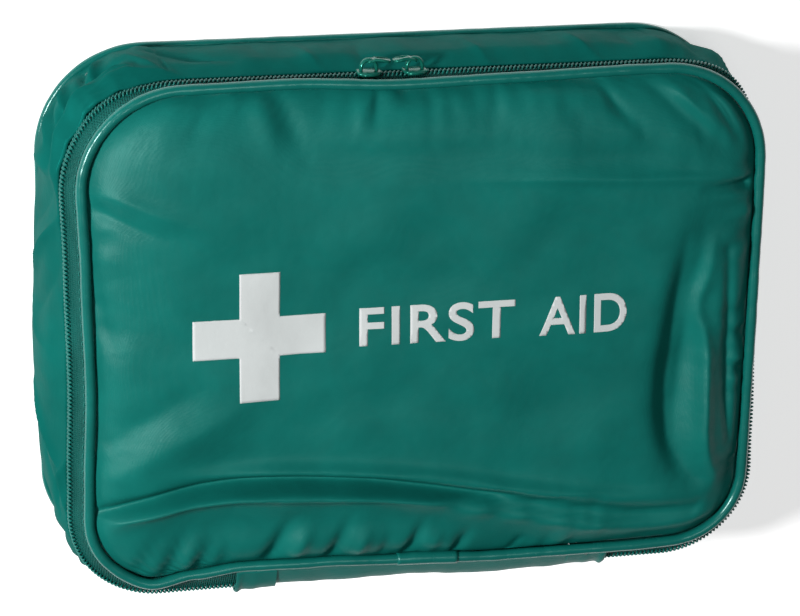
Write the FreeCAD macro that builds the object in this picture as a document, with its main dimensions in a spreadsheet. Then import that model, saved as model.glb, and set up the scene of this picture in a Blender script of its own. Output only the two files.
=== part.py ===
import FreeCAD, Part
import math
import os

import Sketcher

# A soft zip-round first aid pouch, lying on its back.
# +Z is up through the front cover, +X runs along its width, +Y towards its top edge.
# The origin is under the middle of the whole pouch, on the surface that it rests on.

V = FreeCAD.Vector
Constraint = Sketcher.Constraint
ORIGIN = -1       # Sketcher's own name for the root point
START, END, CENTRE = 1, 2, 3
UPRIGHT = 0.9     # an edge whose tangent has more than this along an axis runs along it

doc = FreeCAD.newDocument("first_aid_kit")

# ---------------------------------------------------------------- driving dimensions, mm
SIZES = {
    # front cover, over its piping
    "front_width": 230.0,
    "front_height": 172.6,
    "front_centre_x": 1.9,
    "front_centre_y": 1.47,
    "front_radius_top": 34.0,
    "front_radius_bottom": 26.0,
    "piping_plane": 46.0,
    "piping_diameter": 3.6,
    # the zip line stands outside the piping, because the full pouch bulges there
    "zip_plane": 37.5,
    "zip_grow_x": 4.2,
    "zip_grow_y": 3.0,
    "zip_shift_x": -0.2,
    "zip_shift_y": -2.5,
    "zip_radius_top": 38.0,
    "zip_radius_bottom": 32.0,
    # belly of the gusset
    "belly_plane": 20.0,
    "belly_grow_x": 6.0,
    "belly_grow_y": 5.5,
    "belly_shift_x": -2.0,
    "belly_shift_y": -2.5,
    "belly_radius_top": 38.0,
    "belly_radius_bottom": 34.0,
    # back panel, over its piping
    "back_grow_x": 4.2,
    "back_grow_y": 2.8,
    "back_shift_x": -4.2,
    "back_shift_y": -0.2,
    "back_radius_top": 36.0,
    "back_radius_bottom": 30.0,
    "back_piping_diameter": 3.0,
    # crown of the front panel
    "shoulder_rise": 5.0,
    "shoulder_inset": 14.0,
    "shoulder_radius_top": 24.0,
    "shoulder_radius_bottom": 20.0,
    "crown_rise": 8.0,
    "crown_inset": 32.0,
    "crown_radius_top": 16.0,
    "crown_radius_bottom": 14.0,
    # cloth, tape and seams
    "cloth": 0.8,
    "panel": 1.2,
    "tape": 0.6,
    "tape_inset": 1.0,
    "tape_drop": 8.0,
    "gusset_lap": 6.5,
    "seam_gap": 0.1,
    "binding": 1.0,
    "binding_width": 6.0,
    "coil_proud": 0.6,
    "coil_width": 1.7,
    "coil_parting": 0.4,
    "body_gap": 0.4,
    # hinge strip between the two ends of the zip
    "zip_end_left": 56.0,
    "zip_end_right": 60.0,
    "tab_width": 14.0,
    "tab_height": 5.0,
    "sleeve_start": -8.6,
    "sleeve_length": 22.0,
    "sleeve_wall": 0.5,
    # sliders and pulls
    "slider_length": 8.0,
    "slider_width": 6.8,
    "slider_plate": 1.0,
    "slider_clearance": 0.25,
    "slider_bridge": 0.5,
    "slider_lip": 1.0,
    "slider_round": 1.6,
    "left_slider_x": -19.0,
    "right_slider_x": -3.8,
    "lug_length": 4.6,
    "lug_width": 1.8,
    "lug_wall": 1.1,
    "lug_round": 1.2,
    "pull_pin": 1.2,
    "pull_clearance": 0.08,
    "pull_length": 7.0,
    "pull_width": 4.4,
    "pull_thickness": 0.9,
    "pull_round": 1.2,
    "pull_side_gap": 0.3,
    "pull_end_gap": 0.4,
    "pull_lift": 0.25,
    # print
    "print_film": 0.15,
    "cross_span": 44.0,
    "cross_arm": 13.4,
    "cross_x": -57.6,
    "cross_y": 2.8,
    "letter_height": 13.3,
    "letter_stroke": 2.4,
    "letter_x": -24.5,
    "letter_y": -2.6,
    # how the contents lie
    "rest_gap": 0.3,
    "column_gap": 3.0,
    "content_left_margin": 9.1,
    "content_top_margin": 11.77,
    "roll_margin": 1.0,
    "stack_top": 34.9,
    "pack_round": 3.0,
    # contents
    "triangular_length": 92.0,
    "triangular_width": 68.0,
    "triangular_depth": 10.0,
    "foil_length": 92.0,
    "foil_width": 76.0,
    "foil_depth": 14.0,
    "plaster_length": 84.0,
    "plaster_width": 60.0,
    "glove_length": 90.0,
    "glove_width": 72.0,
    "glove_depth": 6.0,
    "wipe_length": 50.0,
    "wipe_width": 60.0,
    "wipe_count": 6.0,
    "wipe_pitch": 2.0,
    "wipe_depth": 1.8,
    "tape_roll_radius": 21.0,
    "tape_roll_core": 13.0,
    "tape_roll_core_wall": 1.2,
    "tape_roll_width": 12.5,
    "large_dressing_length": 60.0,
    "large_dressing_width": 88.0,
    "large_dressing_depth": 20.0,
    "medium_dressing_length": 58.0,
    "medium_dressing_width": 62.0,
    "medium_dressing_depth": 15.5,
    "eye_dressing_length": 56.0,
    "eye_dressing_width": 56.0,
    "eye_dressing_depth": 12.0,
    "face_shield_length": 54.0,
    "face_shield_width": 26.0,
    "face_shield_depth": 5.0,
    "bandage_radius": 15.5,
    "bandage_length": 72.0,
    "leaflet_length": 54.0,
    "leaflet_width": 60.0,
    "leaflet_depth": 1.6,
    # scissors, tweezers and pins
    "scissors_along": 66.2,
    "scissors_down": 64.6,
    "blade_length": 48.0,
    "blade_width": 9.0,
    "blade_tip": 4.0,
    "blade_thickness": 1.4,
    "blade_gap": 0.1,
    "shank_length": 26.0,
    "shank_reach": 9.0,
    "rivet_radius": 2.2,
    "finger_ring": 11.0,
    "finger_hole": 8.0,
    "grip_thickness": 4.0,
    "tweezer_length": 80.0,
    "tweezer_opening": 9.0,
    "tweezer_strip": 1.2,
    "tweezer_height": 8.0,
    "pin_wire": 1.0,
    "pin_length": 34.0,
    "pin_width": 7.0,
    "pin_pitch": 9.0,
}

sheet = doc.addObject("Spreadsheet::Sheet", "Sizes")
for row, (name, number) in enumerate(SIZES.items(), start=1):
    sheet.set(f"A{row}", name)
    sheet.set(f"B{row}", str(number))
    sheet.setAlias(f"B{row}", name)
doc.recompute()

NODES = {}


def size(name):
    """The sheet's number for a name, for shapes that Part's own functions make."""
    return float(getattr(sheet, name))


def cell(name):
    """A name as an expression that refers to the sheet."""
    return f"Sizes.{name}"


def node(thing, label):
    """Give a finished sub-part its label, and list it for export."""
    thing.Label = label
    NODES[label] = thing
    return thing


def plane(body, role):
    return next(f for f in body.Origin.OriginFeatures if f.Role == role)


def sketch_on(body, name, role="XY_Plane", offset="0"):
    """A sketch on one of the body's own planes, lifted along its normal by an expression."""
    sketch = body.newObject("Sketcher::SketchObject", name)
    sketch.AttachmentSupport = [(plane(body, role), "")]
    sketch.MapMode = "FlatFace"
    sketch.setExpression("AttachmentOffset.Base.z", offset)
    return sketch


def bound(sketch, kind, places, name, expression, start=10.0):
    """A dimension with a name, bound to an expression."""
    index = sketch.addConstraint(Constraint(kind, *places, start))
    sketch.renameConstraint(index, name)
    sketch.setExpression(f"Constraints.{name}", expression)


# ---------------------------------------------------------------- the pouch's outlines
def side_distances(level, inset):
    """How far an outline's sides stand from the origin, and its radii, as expressions."""
    if level == "front":
        grow_x = grow_y = shift_x = shift_y = "0"
    elif level in ("shoulder", "crown"):
        grow_x = grow_y = f"(-{cell(level + '_inset')})"
        shift_x = shift_y = "0"
    else:
        grow_x, grow_y = cell(level + "_grow_x"), cell(level + "_grow_y")
        shift_x, shift_y = cell(level + "_shift_x"), cell(level + "_shift_y")
    half_x = f"Sizes.front_width / 2 + {grow_x} - ({inset})"
    half_y = f"Sizes.front_height / 2 + {grow_y} - ({inset})"
    middle_x = f"(Sizes.front_centre_x + {shift_x})"
    middle_y = f"(Sizes.front_centre_y + {shift_y})"
    return {
        "left": f"{half_x} - {middle_x}",
        "right": f"{half_x} + {middle_x}",
        "bottom": f"{half_y} - {middle_y}",
        "top": f"{half_y} + {middle_y}",
        "radius_top": f"{cell(level + '_radius_top')} - ({inset})",
        "radius_bottom": f"{cell(level + '_radius_bottom')} - ({inset})",
    }


def outline(body, name, level, height, inset):
    """The pouch's rounded outline at one level, drawn inwards by an inset."""
    sketch = sketch_on(body, name, offset=height)
    flat, curve, radius = 50.0, 40.0, 10.0
    corners = [(curve, -curve, -90), (curve, curve, 0), (-curve, curve, 90), (-curve, -curve, 180)]
    lines = [
        ((-curve, -flat), (curve, -flat)),
        ((flat, -curve), (flat, curve)),
        ((curve, flat), (-curve, flat)),
        ((-flat, curve), (-flat, -curve)),
    ]
    for (start, end), (x, y, angle) in zip(lines, corners):
        sketch.addGeometry(Part.LineSegment(V(*start, 0), V(*end, 0)), False)
        circle = Part.Circle(V(x, y, 0), V(0, 0, 1), radius)
        turn = math.radians(angle)
        sketch.addGeometry(Part.ArcOfCircle(circle, turn, turn + math.pi / 2), False)
    bottom, bottom_right, right, top_right, top, top_left, left, bottom_left = range(8)
    for index in range(8):
        sketch.addConstraint(Constraint("Tangent", index, END, (index + 1) % 8, START))
    for line in (bottom, top):
        sketch.addConstraint(Constraint("Horizontal", line))
    for line in (right, left):
        sketch.addConstraint(Constraint("Vertical", line))
    sketch.addConstraint(Constraint("Equal", bottom_right, bottom_left))
    sketch.addConstraint(Constraint("Equal", top_right, top_left))
    sides = side_distances(level, inset)
    bound(sketch, "Radius", (bottom_right,), "radius_bottom", sides["radius_bottom"])
    bound(sketch, "Radius", (top_right,), "radius_top", sides["radius_top"])
    bound(sketch, "DistanceX", (left, START, ORIGIN, START), "left", sides["left"], flat)
    bound(sketch, "DistanceX", (ORIGIN, START, right, START), "right", sides["right"], flat)
    bound(sketch, "DistanceY", (bottom, START, ORIGIN, START), "bottom", sides["bottom"], flat)
    bound(sketch, "DistanceY", (ORIGIN, START, top, START), "top", sides["top"], flat)
    return sketch


def loft(body, name, kind, stations):
    """A ruled loft through outlines, each given as (level, height, inset)."""
    sketches = [
        outline(body, f"{name}_{index}", *station) for index, station in enumerate(stations)
    ]
    feature = body.newObject(f"PartDesign::{kind}Loft", name)
    feature.Profile = sketches[0]
    feature.Sections = sketches[1:]
    feature.Ruled = True
    return feature


def ring(label, stations, thickness):
    """A band of cloth round the pouch: outer loft less the same loft drawn inwards."""
    body = doc.addObject("PartDesign::Body", label)
    loft(body, label + "_outer", "Additive", stations)
    inner = [(level, height, f"({inset}) + {thickness}") for level, height, inset in stations]
    loft(body, label + "_inner", "Subtractive", inner)
    return body


def panel(label, level, height, thickness, inset):
    """A flat sheet with the pouch's outline."""
    body = doc.addObject("PartDesign::Body", label)
    sketch = outline(body, label + "_outline", level, height, inset)
    pad = body.newObject("PartDesign::Pad", label + "_pad")
    pad.Profile = sketch
    pad.setExpression("Length", thickness)
    return body


def piping(label, level, height, diameter, inset="0"):
    """A round cord in its cloth, swept round an outline; its outer side is on the outline."""
    body = doc.addObject("PartDesign::Body", label)
    centre = f"({inset}) + {diameter} / 2"
    path = outline(body, label + "_path", level, height, centre)
    section = sketch_on(body, label + "_section", "YZ_Plane")
    section.addGeometry(Part.Circle(V(-50, 20, 0), V(0, 0, 1), 2.0), False)
    away = side_distances(level, centre)["bottom"]
    bound(section, "DistanceX", (0, CENTRE, ORIGIN, START), "away", away, 50.0)
    bound(section, "DistanceY", (ORIGIN, START, 0, CENTRE), "up", height, 20.0)
    bound(section, "Radius", (0,), "radius", f"{diameter} / 2", 2.0)
    sweep = body.newObject("PartDesign::AdditivePipe", label + "_sweep")
    sweep.Profile = section
    sweep.Spine = (path, [])
    return body


def block(name, low, extent):
    """A plain box with its low corner and its extents bound to expressions."""
    box = doc.addObject("Part::Box", name)
    for axis, expression in zip("xyz", low):
        box.setExpression(f"Placement.Base.{axis}", expression)
    for prop, expression in zip(("Length", "Width", "Height"), extent):
        box.setExpression(prop, expression)
    return box


def box_body(label, low, extent):
    """A body holding one box with its low corner and extents bound to expressions."""
    body = doc.addObject("PartDesign::Body", label)
    box = body.newObject("PartDesign::AdditiveBox", label + "_box")
    for axis, expression in zip("xyz", low):
        box.setExpression(f"Placement.Base.{axis}", expression)
    for prop, expression in zip(("Length", "Width", "Height"), extent):
        box.setExpression(prop, expression)
    doc.recompute()
    return body, box


def boolean(label, kind, base, tool):
    result = doc.addObject(f"Part::{kind}", label + "_shape")
    result.Base, result.Tool = base, tool
    return node(result, label)


ZIP_BOTTOM = side_distances("zip", "0")["bottom"]
BELLY_BOTTOM = side_distances("belly", "0")["bottom"]
HALF_PIPING = "Sizes.piping_diameter / 2"
REAR_TOP = "Sizes.zip_plane - Sizes.coil_parting"
FRONT_LOW = "Sizes.zip_plane + Sizes.coil_parting"
ROUND_SLEEVE = "Sizes.sleeve_wall + 2 * Sizes.seam_gap"
UNDER_PIPING = f"Sizes.piping_plane - {HALF_PIPING} - ({ROUND_SLEEVE})"
INSIDE_PIPING = f"Sizes.piping_diameter + {ROUND_SLEEVE}"
LAP_TOP = "Sizes.zip_plane - Sizes.gusset_lap"
BACK_TOP = "Sizes.back_piping_diameter + Sizes.seam_gap"
BACK_INSET = "Sizes.back_piping_diameter / 2 - Sizes.cloth / 2"


def hinge_block(name):
    """The stretch of the bottom side between the two ends of the zip."""
    reach = "20"
    low = (
        "-Sizes.zip_end_left + Sizes.front_centre_x",
        f"-({ZIP_BOTTOM}) - {reach} / 2",
        "0",
    )
    extent = ("Sizes.zip_end_left + Sizes.zip_end_right", reach, "Sizes.piping_plane")
    return block(name, low, extent)


# ---------------------------------------------------------------- case
def back_shell():
    inset = "Sizes.back_piping_diameter + Sizes.seam_gap"
    node(panel("back_panel", "back", "0", "Sizes.panel", inset), "back_panel")
    height = "Sizes.back_piping_diameter / 2"
    node(piping("back_piping", "back", height, "Sizes.back_piping_diameter"), "back_piping")


def gussets():
    low = ("back", BACK_TOP, BACK_INSET)
    belly = ("belly", "Sizes.belly_plane", "0")
    wall = ring("wall_ring", [low, belly, ("zip", LAP_TOP, "0")], "Sizes.cloth")
    boolean("wall_gusset", "Cut", wall, hinge_block("wall_gap"))
    strip = ring("strip_ring", [low, belly, ("zip", REAR_TOP, "0")], "Sizes.cloth")
    boolean("hinge_gusset", "Common", strip, hinge_block("strip_span"))
    band_end = ("front", UNDER_PIPING, f"{HALF_PIPING} - Sizes.cloth / 2")
    band = ring("band_ring", [("zip", FRONT_LOW, "0"), band_end], "Sizes.cloth")
    boolean("cover_hinge_band", "Common", band, hinge_block("band_span"))


def zips():
    tape_low = "Sizes.zip_plane - Sizes.coil_parting - Sizes.tape_drop"
    tape_in = "Sizes.tape_inset"
    rear = ring("rear_tape_ring", [("zip", tape_low, tape_in), ("zip", REAR_TOP, tape_in)], "Sizes.tape")
    boolean("rear_zip_tape", "Cut", rear, hinge_block("rear_tape_gap"))
    front_end = ("front", UNDER_PIPING, f"{HALF_PIPING} - Sizes.tape / 2")
    front = ring("front_tape_ring", [("zip", FRONT_LOW, tape_in), front_end], "Sizes.tape")
    boolean("front_zip_tape", "Cut", front, hinge_block("front_tape_gap"))
    proud = "-Sizes.coil_proud"
    depth = "(Sizes.coil_proud + Sizes.tape_inset - Sizes.seam_gap)"
    rear_low = f"{REAR_TOP} - Sizes.coil_width"
    rear_coil = ring("rear_coil_ring", [("zip", rear_low, proud), ("zip", REAR_TOP, proud)], depth)
    boolean("rear_zip_coil", "Cut", rear_coil, hinge_block("rear_coil_gap"))
    front_top = f"{FRONT_LOW} + Sizes.coil_width"
    front_coil = ring("front_coil_ring", [("zip", FRONT_LOW, proud), ("zip", front_top, proud)], depth)
    boolean("front_zip_coil", "Cut", front_coil, hinge_block("front_coil_gap"))


def bindings():
    """Folded tapes that cover the raw edges inside the three seams."""
    behind_tape = "Sizes.tape_inset + Sizes.tape + Sizes.seam_gap"
    low = "Sizes.zip_plane - Sizes.coil_parting - Sizes.tape_drop - Sizes.binding_width / 2"
    top = f"{low} + Sizes.binding_width"
    stations = [("zip", low, behind_tape), ("zip", top, behind_tape)]
    rear = ring("rear_binding_ring", stations, "Sizes.binding")
    boolean("rear_seam_binding", "Cut", rear, hinge_block("rear_binding_gap"))
    inset = f"{BACK_INSET} + Sizes.cloth + Sizes.seam_gap"
    stations = [("back", BACK_TOP, inset), ("back", f"{BACK_TOP} + Sizes.binding_width", inset)]
    node(ring("back_seam_binding", stations, "Sizes.binding"), "back_seam_binding")
    top = "Sizes.piping_plane - Sizes.panel / 2 - Sizes.seam_gap"
    low = f"{top} - Sizes.binding_width"
    stations = [("front", low, INSIDE_PIPING), ("front", top, INSIDE_PIPING)]
    node(ring("front_seam_binding", stations, "Sizes.binding"), "front_seam_binding")


def end_tabs():
    """A folded scrap of cloth sewn over each end of the zip."""
    slope = f"(({BELLY_BOTTOM}) - ({ZIP_BOTTOM})) / ({REAR_TOP} - Sizes.belly_plane)"
    stand_off = f"max(Sizes.coil_proud; {slope} * Sizes.tab_height)"
    low_y = f"-({ZIP_BOTTOM}) - {stand_off} - Sizes.seam_gap - Sizes.cloth"
    low_z = f"{REAR_TOP} - Sizes.tab_height"
    half = "Sizes.tab_width / 2"
    places = {
        "left_zip_end_tab": f"-Sizes.zip_end_left + Sizes.front_centre_x - {half}",
        "right_zip_end_tab": f"Sizes.zip_end_right + Sizes.front_centre_x - {half}",
    }
    extent = ("Sizes.tab_width", "Sizes.cloth", "Sizes.tab_height")
    for label, low_x in places.items():
        body, _ = box_body(label, (low_x, low_y, low_z), extent)
        node(body, label)


# ---------------------------------------------------------------- cover
def front_shell():
    edge = "Sizes.piping_plane - Sizes.panel / 2"
    shoulder = f"{edge} + Sizes.shoulder_rise"
    crown = f"{edge} + Sizes.crown_rise"
    body = doc.addObject("PartDesign::Body", "front_panel")
    top = "Sizes.panel"
    stations = [
        ("front", edge, INSIDE_PIPING),
        ("front", f"{edge} + {top}", INSIDE_PIPING),
        ("shoulder", f"{shoulder} + {top}", "0"),
        ("crown", f"{crown} + {top}", "0"),
    ]
    loft(body, "front_dome", "Additive", stations)
    hollow = [
        ("front", edge, f"{INSIDE_PIPING} + {top}"),
        ("shoulder", shoulder, top),
        ("crown", crown, top),
    ]
    loft(body, "front_hollow", "Subtractive", hollow)
    node(body, "front_panel")
    cord = piping("front_piping", "front", "Sizes.piping_plane", "Sizes.piping_diameter")
    node(cord, "front_piping")


def piping_sleeve():
    """The short sleeve that covers the join in the front piping."""
    body = doc.addObject("PartDesign::Body", "piping_join")
    profile = sketch_on(body, "sleeve_rings", "YZ_Plane", "Sizes.front_centre_x + Sizes.sleeve_start")
    away = side_distances("front", HALF_PIPING)["bottom"]
    inner = f"{HALF_PIPING} + Sizes.seam_gap / 2"
    for index, radius in enumerate((inner, f"{inner} + Sizes.sleeve_wall")):
        profile.addGeometry(Part.Circle(V(-50, 20, 0), V(0, 0, 1), 2.0 + index), False)
        bound(profile, "DistanceX", (index, CENTRE, ORIGIN, START), f"away_{index}", away, 50.0)
        bound(profile, "DistanceY", (ORIGIN, START, index, CENTRE), f"up_{index}", "Sizes.piping_plane", 20.0)
        bound(profile, "Radius", (index,), f"radius_{index}", radius, 2.0 + index)
    pad = body.newObject("PartDesign::Pad", "sleeve_pad")
    pad.Profile = profile
    pad.setExpression("Length", "Sizes.sleeve_length")
    node(body, "piping_join")


def crown_top():
    return size("piping_plane") + size("panel") / 2 + size("crown_rise")


def print_solid(label, outlines, x, y):
    """Thin printed shapes on the crown of the cover, from closed point lists."""
    solids = []
    for points in outlines:
        corners = [V(px, py, 0) for px, py in points]
        face = Part.Face(Part.makePolygon(corners + corners[:1]))
        solids.append(face.extrude(V(0, 0, size("print_film"))))
    shape = solids[0] if len(solids) == 1 else Part.makeCompound(solids)
    feature = doc.addObject("Part::Feature", label + "_shape")
    feature.Shape = shape
    place = V(size("front_centre_x") + x, size("front_centre_y") + y, crown_top())
    feature.Placement = FreeCAD.Placement(place, FreeCAD.Rotation())
    node(feature, label)


def cross_points():
    reach, arm = size("cross_span") / 2, size("cross_arm") / 2
    quarter = [(arm, reach), (arm, arm), (reach, arm)]
    points = []
    for turn in range(4):
        for px, py in quarter:
            for _ in range(turn):
                px, py = py, -px
            points.append((px, py))
    return points


def bars(rows):
    """Rectangles given as (left, low, right, high)."""
    return [[(a, b), (c, b), (c, d), (a, d)] for a, b, c, d in rows]


def letter(mark, tall, stroke):
    """Plain block letters built from straight bars, and their width."""
    wide = tall * 0.74
    middle = tall / 2 - stroke / 2
    foot, head = (0, 0, wide, stroke), (0, tall - stroke, wide, tall)
    stem = (0, 0, stroke, tall)
    if mark == "I":
        return bars([stem]), stroke
    if mark == "F":
        arms = [(stroke, tall - stroke, wide, tall), (stroke, middle, wide * 0.85, middle + stroke)]
        return bars([stem] + arms), wide
    if mark == "T":
        post = (wide / 2 - stroke / 2, 0, wide / 2 + stroke / 2, tall - stroke)
        return bars([head, post]), wide
    if mark == "S":
        rungs = [foot, (0, middle, wide, middle + stroke), head]
        sides = [(wide - stroke, stroke, wide, middle), (0, middle + stroke, stroke, tall - stroke)]
        return bars(rungs + sides), wide
    if mark == "D":
        rungs = [(stroke, 0, wide - stroke, stroke), (stroke, tall - stroke, wide - stroke, tall)]
        bow = (wide - stroke, stroke, wide, tall - stroke)
        return bars([stem, bow] + rungs), wide
    if mark == "A":
        low = middle - stroke
        rungs = [(stroke, tall - stroke, wide - stroke, tall), (stroke, low, wide - stroke, middle)]
        sides = [(0, 0, stroke, tall - stroke), (wide - stroke, 0, wide, tall - stroke)]
        return bars(rungs + sides), wide
    rungs = [(stroke, tall - stroke, wide - stroke, tall), (stroke, middle, wide - stroke, middle + stroke)]
    bow = (wide - stroke, middle + stroke, wide, tall - stroke)
    leg = [(wide - stroke * 1.2, 0), (wide, 0), (wide - stroke * 0.6, middle), (wide - stroke * 1.9, middle)]
    return bars([stem, bow] + rungs) + [leg], wide


def lettering():
    tall, stroke = size("letter_height"), size("letter_stroke")
    letter_space, word_space = stroke * 1.25, stroke * 2.6
    pen, outlines = 0.0, []
    for mark in "FIRST AID":
        if mark == " ":
            pen += word_space
            continue
        shapes, wide = letter(mark, tall, stroke)
        outlines += [[(px + pen, py) for px, py in points] for points in shapes]
        pen += wide + letter_space
    return outlines


# ---------------------------------------------------------------- sliders and pulls
def edges_along(shape, axis, wanted=lambda middle: True):
    """A shape's edges that run along an axis, where wanted says yes to their middle."""
    return [
        edge
        for edge in shape.Edges
        if abs(getattr(edge.tangentAt(edge.FirstParameter), axis)) > UPRIGHT
        and wanted(edge.CenterOfMass)
    ]


def joined(solids):
    shape = solids[0]
    for other in solids[1:]:
        shape = shape.fuse(other)
    return shape.removeSplitter()


def slider_y():
    """The zip's line along the top side, where the sliders run."""
    half = size("front_height") / 2 + size("zip_grow_y")
    return half + size("front_centre_y") + size("zip_shift_y")


def pin_height():
    """The pull's pin over the zip's line."""
    plate_top = size("coil_proud") + size("slider_clearance") + size("slider_plate")
    return plate_top + size("pull_pin") / 2 + size("pull_clearance") + size("pull_lift")


def add_at(label, shape, x):
    feature = doc.addObject("Part::Feature", label + "_shape")
    feature.Shape = shape
    feature.Placement = FreeCAD.Placement(V(x, slider_y(), size("zip_plane")), FreeCAD.Rotation())
    node(feature, label)


def centred(length, low_y, high_y, low_z, high_z, x=0.0):
    return Part.makeBox(length, high_y - low_y, high_z - low_z, V(x - length / 2, low_y, low_z))


def open_side():
    """How far the slider's inner plate reaches past the zip's line, on the cover's side."""
    return size("coil_parting") + size("coil_width") + size("seam_gap")


def tape_lean():
    """How far the cover's tape leans inwards by the inner plate's open edge."""
    rise = size("piping_plane") - size("piping_diameter") / 2 - size("zip_plane")
    inward = size("zip_grow_y") + size("zip_shift_y") + size("piping_diameter") / 2
    return max(0, inward - size("tape_inset")) * open_side() / rise


def slider_shape():
    """Two plates round the coil, tied between its halves; the cover's side stays open."""
    length, half = size("slider_length"), size("slider_width") / 2
    gap, plate = size("slider_clearance"), size("slider_plate")
    outside = size("coil_proud") + gap
    inside = -(size("tape_inset") + size("tape") + gap + tape_lean())
    outer = centred(length, outside, outside + plate, -half, half)
    outer = outer.makeFillet(size("slider_round"), edges_along(outer, "y"))
    inner = centred(length, inside - plate, inside, -half, open_side())
    bridge_half = size("slider_bridge") / 2
    bridge = centred(length / 3, inside - plate / 2, outside + plate / 2, -bridge_half, bridge_half)
    lip_edge = -(size("coil_parting") + size("coil_width") + gap)
    lip_low = -size("tape_inset") + gap
    lip = centred(length * 0.6, lip_low, outside + plate / 2, lip_edge - size("slider_lip"), lip_edge)
    pin, wall = pin_height(), size("lug_wall")
    radius = size("pull_pin") / 2 + size("pull_clearance")
    lug_half = size("lug_width") / 2
    lug = centred(size("lug_length"), outside + plate / 2, pin + radius + wall, -lug_half, lug_half)
    lug = lug.makeFillet(size("lug_round"), edges_along(lug, "z", lambda middle: middle.y > pin))
    hole = Part.makeCylinder(radius, lug_half * 4, V(0, pin, -lug_half * 2), V(0, 0, 1))
    return joined([outer, inner, bridge, lip, lug]).cut(hole)


def pull_shape(way):
    """A pin through the lug, two arms beside it and a tab, pointing along way times X."""
    pin, width, thick = pin_height(), size("pull_width"), size("pull_thickness")
    low, high = pin - thick / 2, pin + thick / 2
    inner = size("lug_width") / 2 + size("pull_side_gap")
    start = size("lug_length") / 2 + size("pull_end_gap")
    arm = start + thick
    tab_length = size("pull_length") - start
    bar = Part.makeCylinder(size("pull_pin") / 2, width, V(0, pin, -width / 2), V(0, 0, 1))
    arms = [
        centred(arm, low, high, low_z, high_z, way * arm / 2)
        for low_z, high_z in ((inner, width / 2), (-width / 2, -inner))
    ]
    tab = centred(tab_length, low, high, -width / 2, width / 2, way * (start + tab_length / 2))
    far = start + tab_length / 2
    tab = tab.makeFillet(size("pull_round"), edges_along(tab, "y", lambda middle: middle.x * way > far))
    return joined([bar, *arms, tab])


def sliders():
    for side, way in (("left", 1), ("right", -1)):
        x = size("front_centre_x") + size(f"{side}_slider_x")
        add_at(f"{side}_slider", slider_shape(), x)
        add_at(f"{side}_pull", pull_shape(way), x)


# ---------------------------------------------------------------- contents
def pack(label, low, extent):
    """A soft wrapped pack, as a box with rounded upright edges."""
    body, box = box_body(label, low, extent)
    fillet = body.newObject("PartDesign::Fillet", label + "_round")
    upright = [
        f"Edge{index + 1}"
        for index, edge in enumerate(box.Shape.Edges)
        if abs(edge.tangentAt(edge.FirstParameter).z) > UPRIGHT
    ]
    fillet.Base = (box, upright)
    fillet.setExpression("Radius", "Sizes.pack_round")
    node(body, label)


FLOOR = "Sizes.panel + Sizes.rest_gap"
COLUMN = "(Sizes.front_centre_x - Sizes.front_width / 2 + Sizes.content_left_margin)"
LEFT_WIDTH = "max(Sizes.triangular_length; Sizes.wipe_length + 2 * Sizes.tape_roll_radius)"
MIDDLE = f"{COLUMN} + {LEFT_WIDTH} + Sizes.column_gap"
RIGHT = f"{MIDDLE} + Sizes.large_dressing_length + Sizes.column_gap"
TOP_Y = "(Sizes.front_centre_y + Sizes.front_height / 2 - Sizes.content_top_margin)"
LOW_Y = f"{TOP_Y} - Sizes.triangular_width - Sizes.column_gap - Sizes.foil_width"


def column_x():
    return size("front_centre_x") - size("front_width") / 2 + size("content_left_margin")


def middle_x():
    left_width = max(size("triangular_length"), size("wipe_length") + 2 * size("tape_roll_radius"))
    return column_x() + left_width + size("column_gap")


def top_y():
    return size("front_centre_y") + size("front_height") / 2 - size("content_top_margin")


def left_column():
    extent = ("Sizes.triangular_length", "Sizes.triangular_width", "Sizes.triangular_depth")
    low_y = f"{TOP_Y} - Sizes.triangular_width"
    pack("lower_triangular_bandage", (COLUMN, low_y, FLOOR), extent)
    second = f"{FLOOR} + Sizes.triangular_depth + Sizes.rest_gap"
    pack("upper_triangular_bandage", (COLUMN, low_y, second), extent)
    third = f"{second} + Sizes.triangular_depth + Sizes.rest_gap"
    low = (f"{COLUMN} + Sizes.column_gap", f"{low_y} + Sizes.column_gap", third)
    extent = ("Sizes.plaster_length", "Sizes.plaster_width", f"Sizes.stack_top - ({third})")
    pack("plaster_wallet", low, extent)
    extent = ("Sizes.foil_length", "Sizes.foil_width", "Sizes.foil_depth")
    pack("foil_blanket_pack", (COLUMN, LOW_Y, FLOOR), extent)
    second = f"{FLOOR} + Sizes.foil_depth + Sizes.rest_gap"
    extent = ("Sizes.glove_length", "Sizes.glove_width", "Sizes.glove_depth")
    pack("glove_pack", (COLUMN, LOW_Y, second), extent)
    return f"{second} + Sizes.glove_depth + Sizes.rest_gap"


def wipes(height):
    """A stack of sealed cleansing wipes."""
    low = (f"{COLUMN} + Sizes.roll_margin", f"{LOW_Y} + Sizes.roll_margin", height)
    extent = ("Sizes.wipe_length", "Sizes.wipe_width", "Sizes.wipe_depth")
    sachet, _ = box_body("wipe_sachet", low, extent)
    solids = []
    for index in range(int(size("wipe_count"))):
        copy = sachet.Shape.copy()
        copy.translate(V(0, 0, index * size("wipe_pitch")))
        solids.append(copy)
    stack = doc.addObject("Part::Feature", "wipe_stack")
    stack.Shape = Part.makeCompound(solids)
    node(stack, "cleansing_wipes")


def tube(label, centre, outer, inner, length):
    """An upright tube, such as a roll of tape on its core."""
    solids = []
    for name, radius in (("outer", outer), ("inner", inner)):
        cylinder = doc.addObject("Part::Cylinder", f"{label}_{name}")
        cylinder.setExpression("Radius", radius)
        cylinder.setExpression("Height", length)
        for axis, expression in zip("xyz", centre):
            cylinder.setExpression(f"Placement.Base.{axis}", expression)
        solids.append(cylinder)
    boolean(label, "Cut", *solids)


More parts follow.
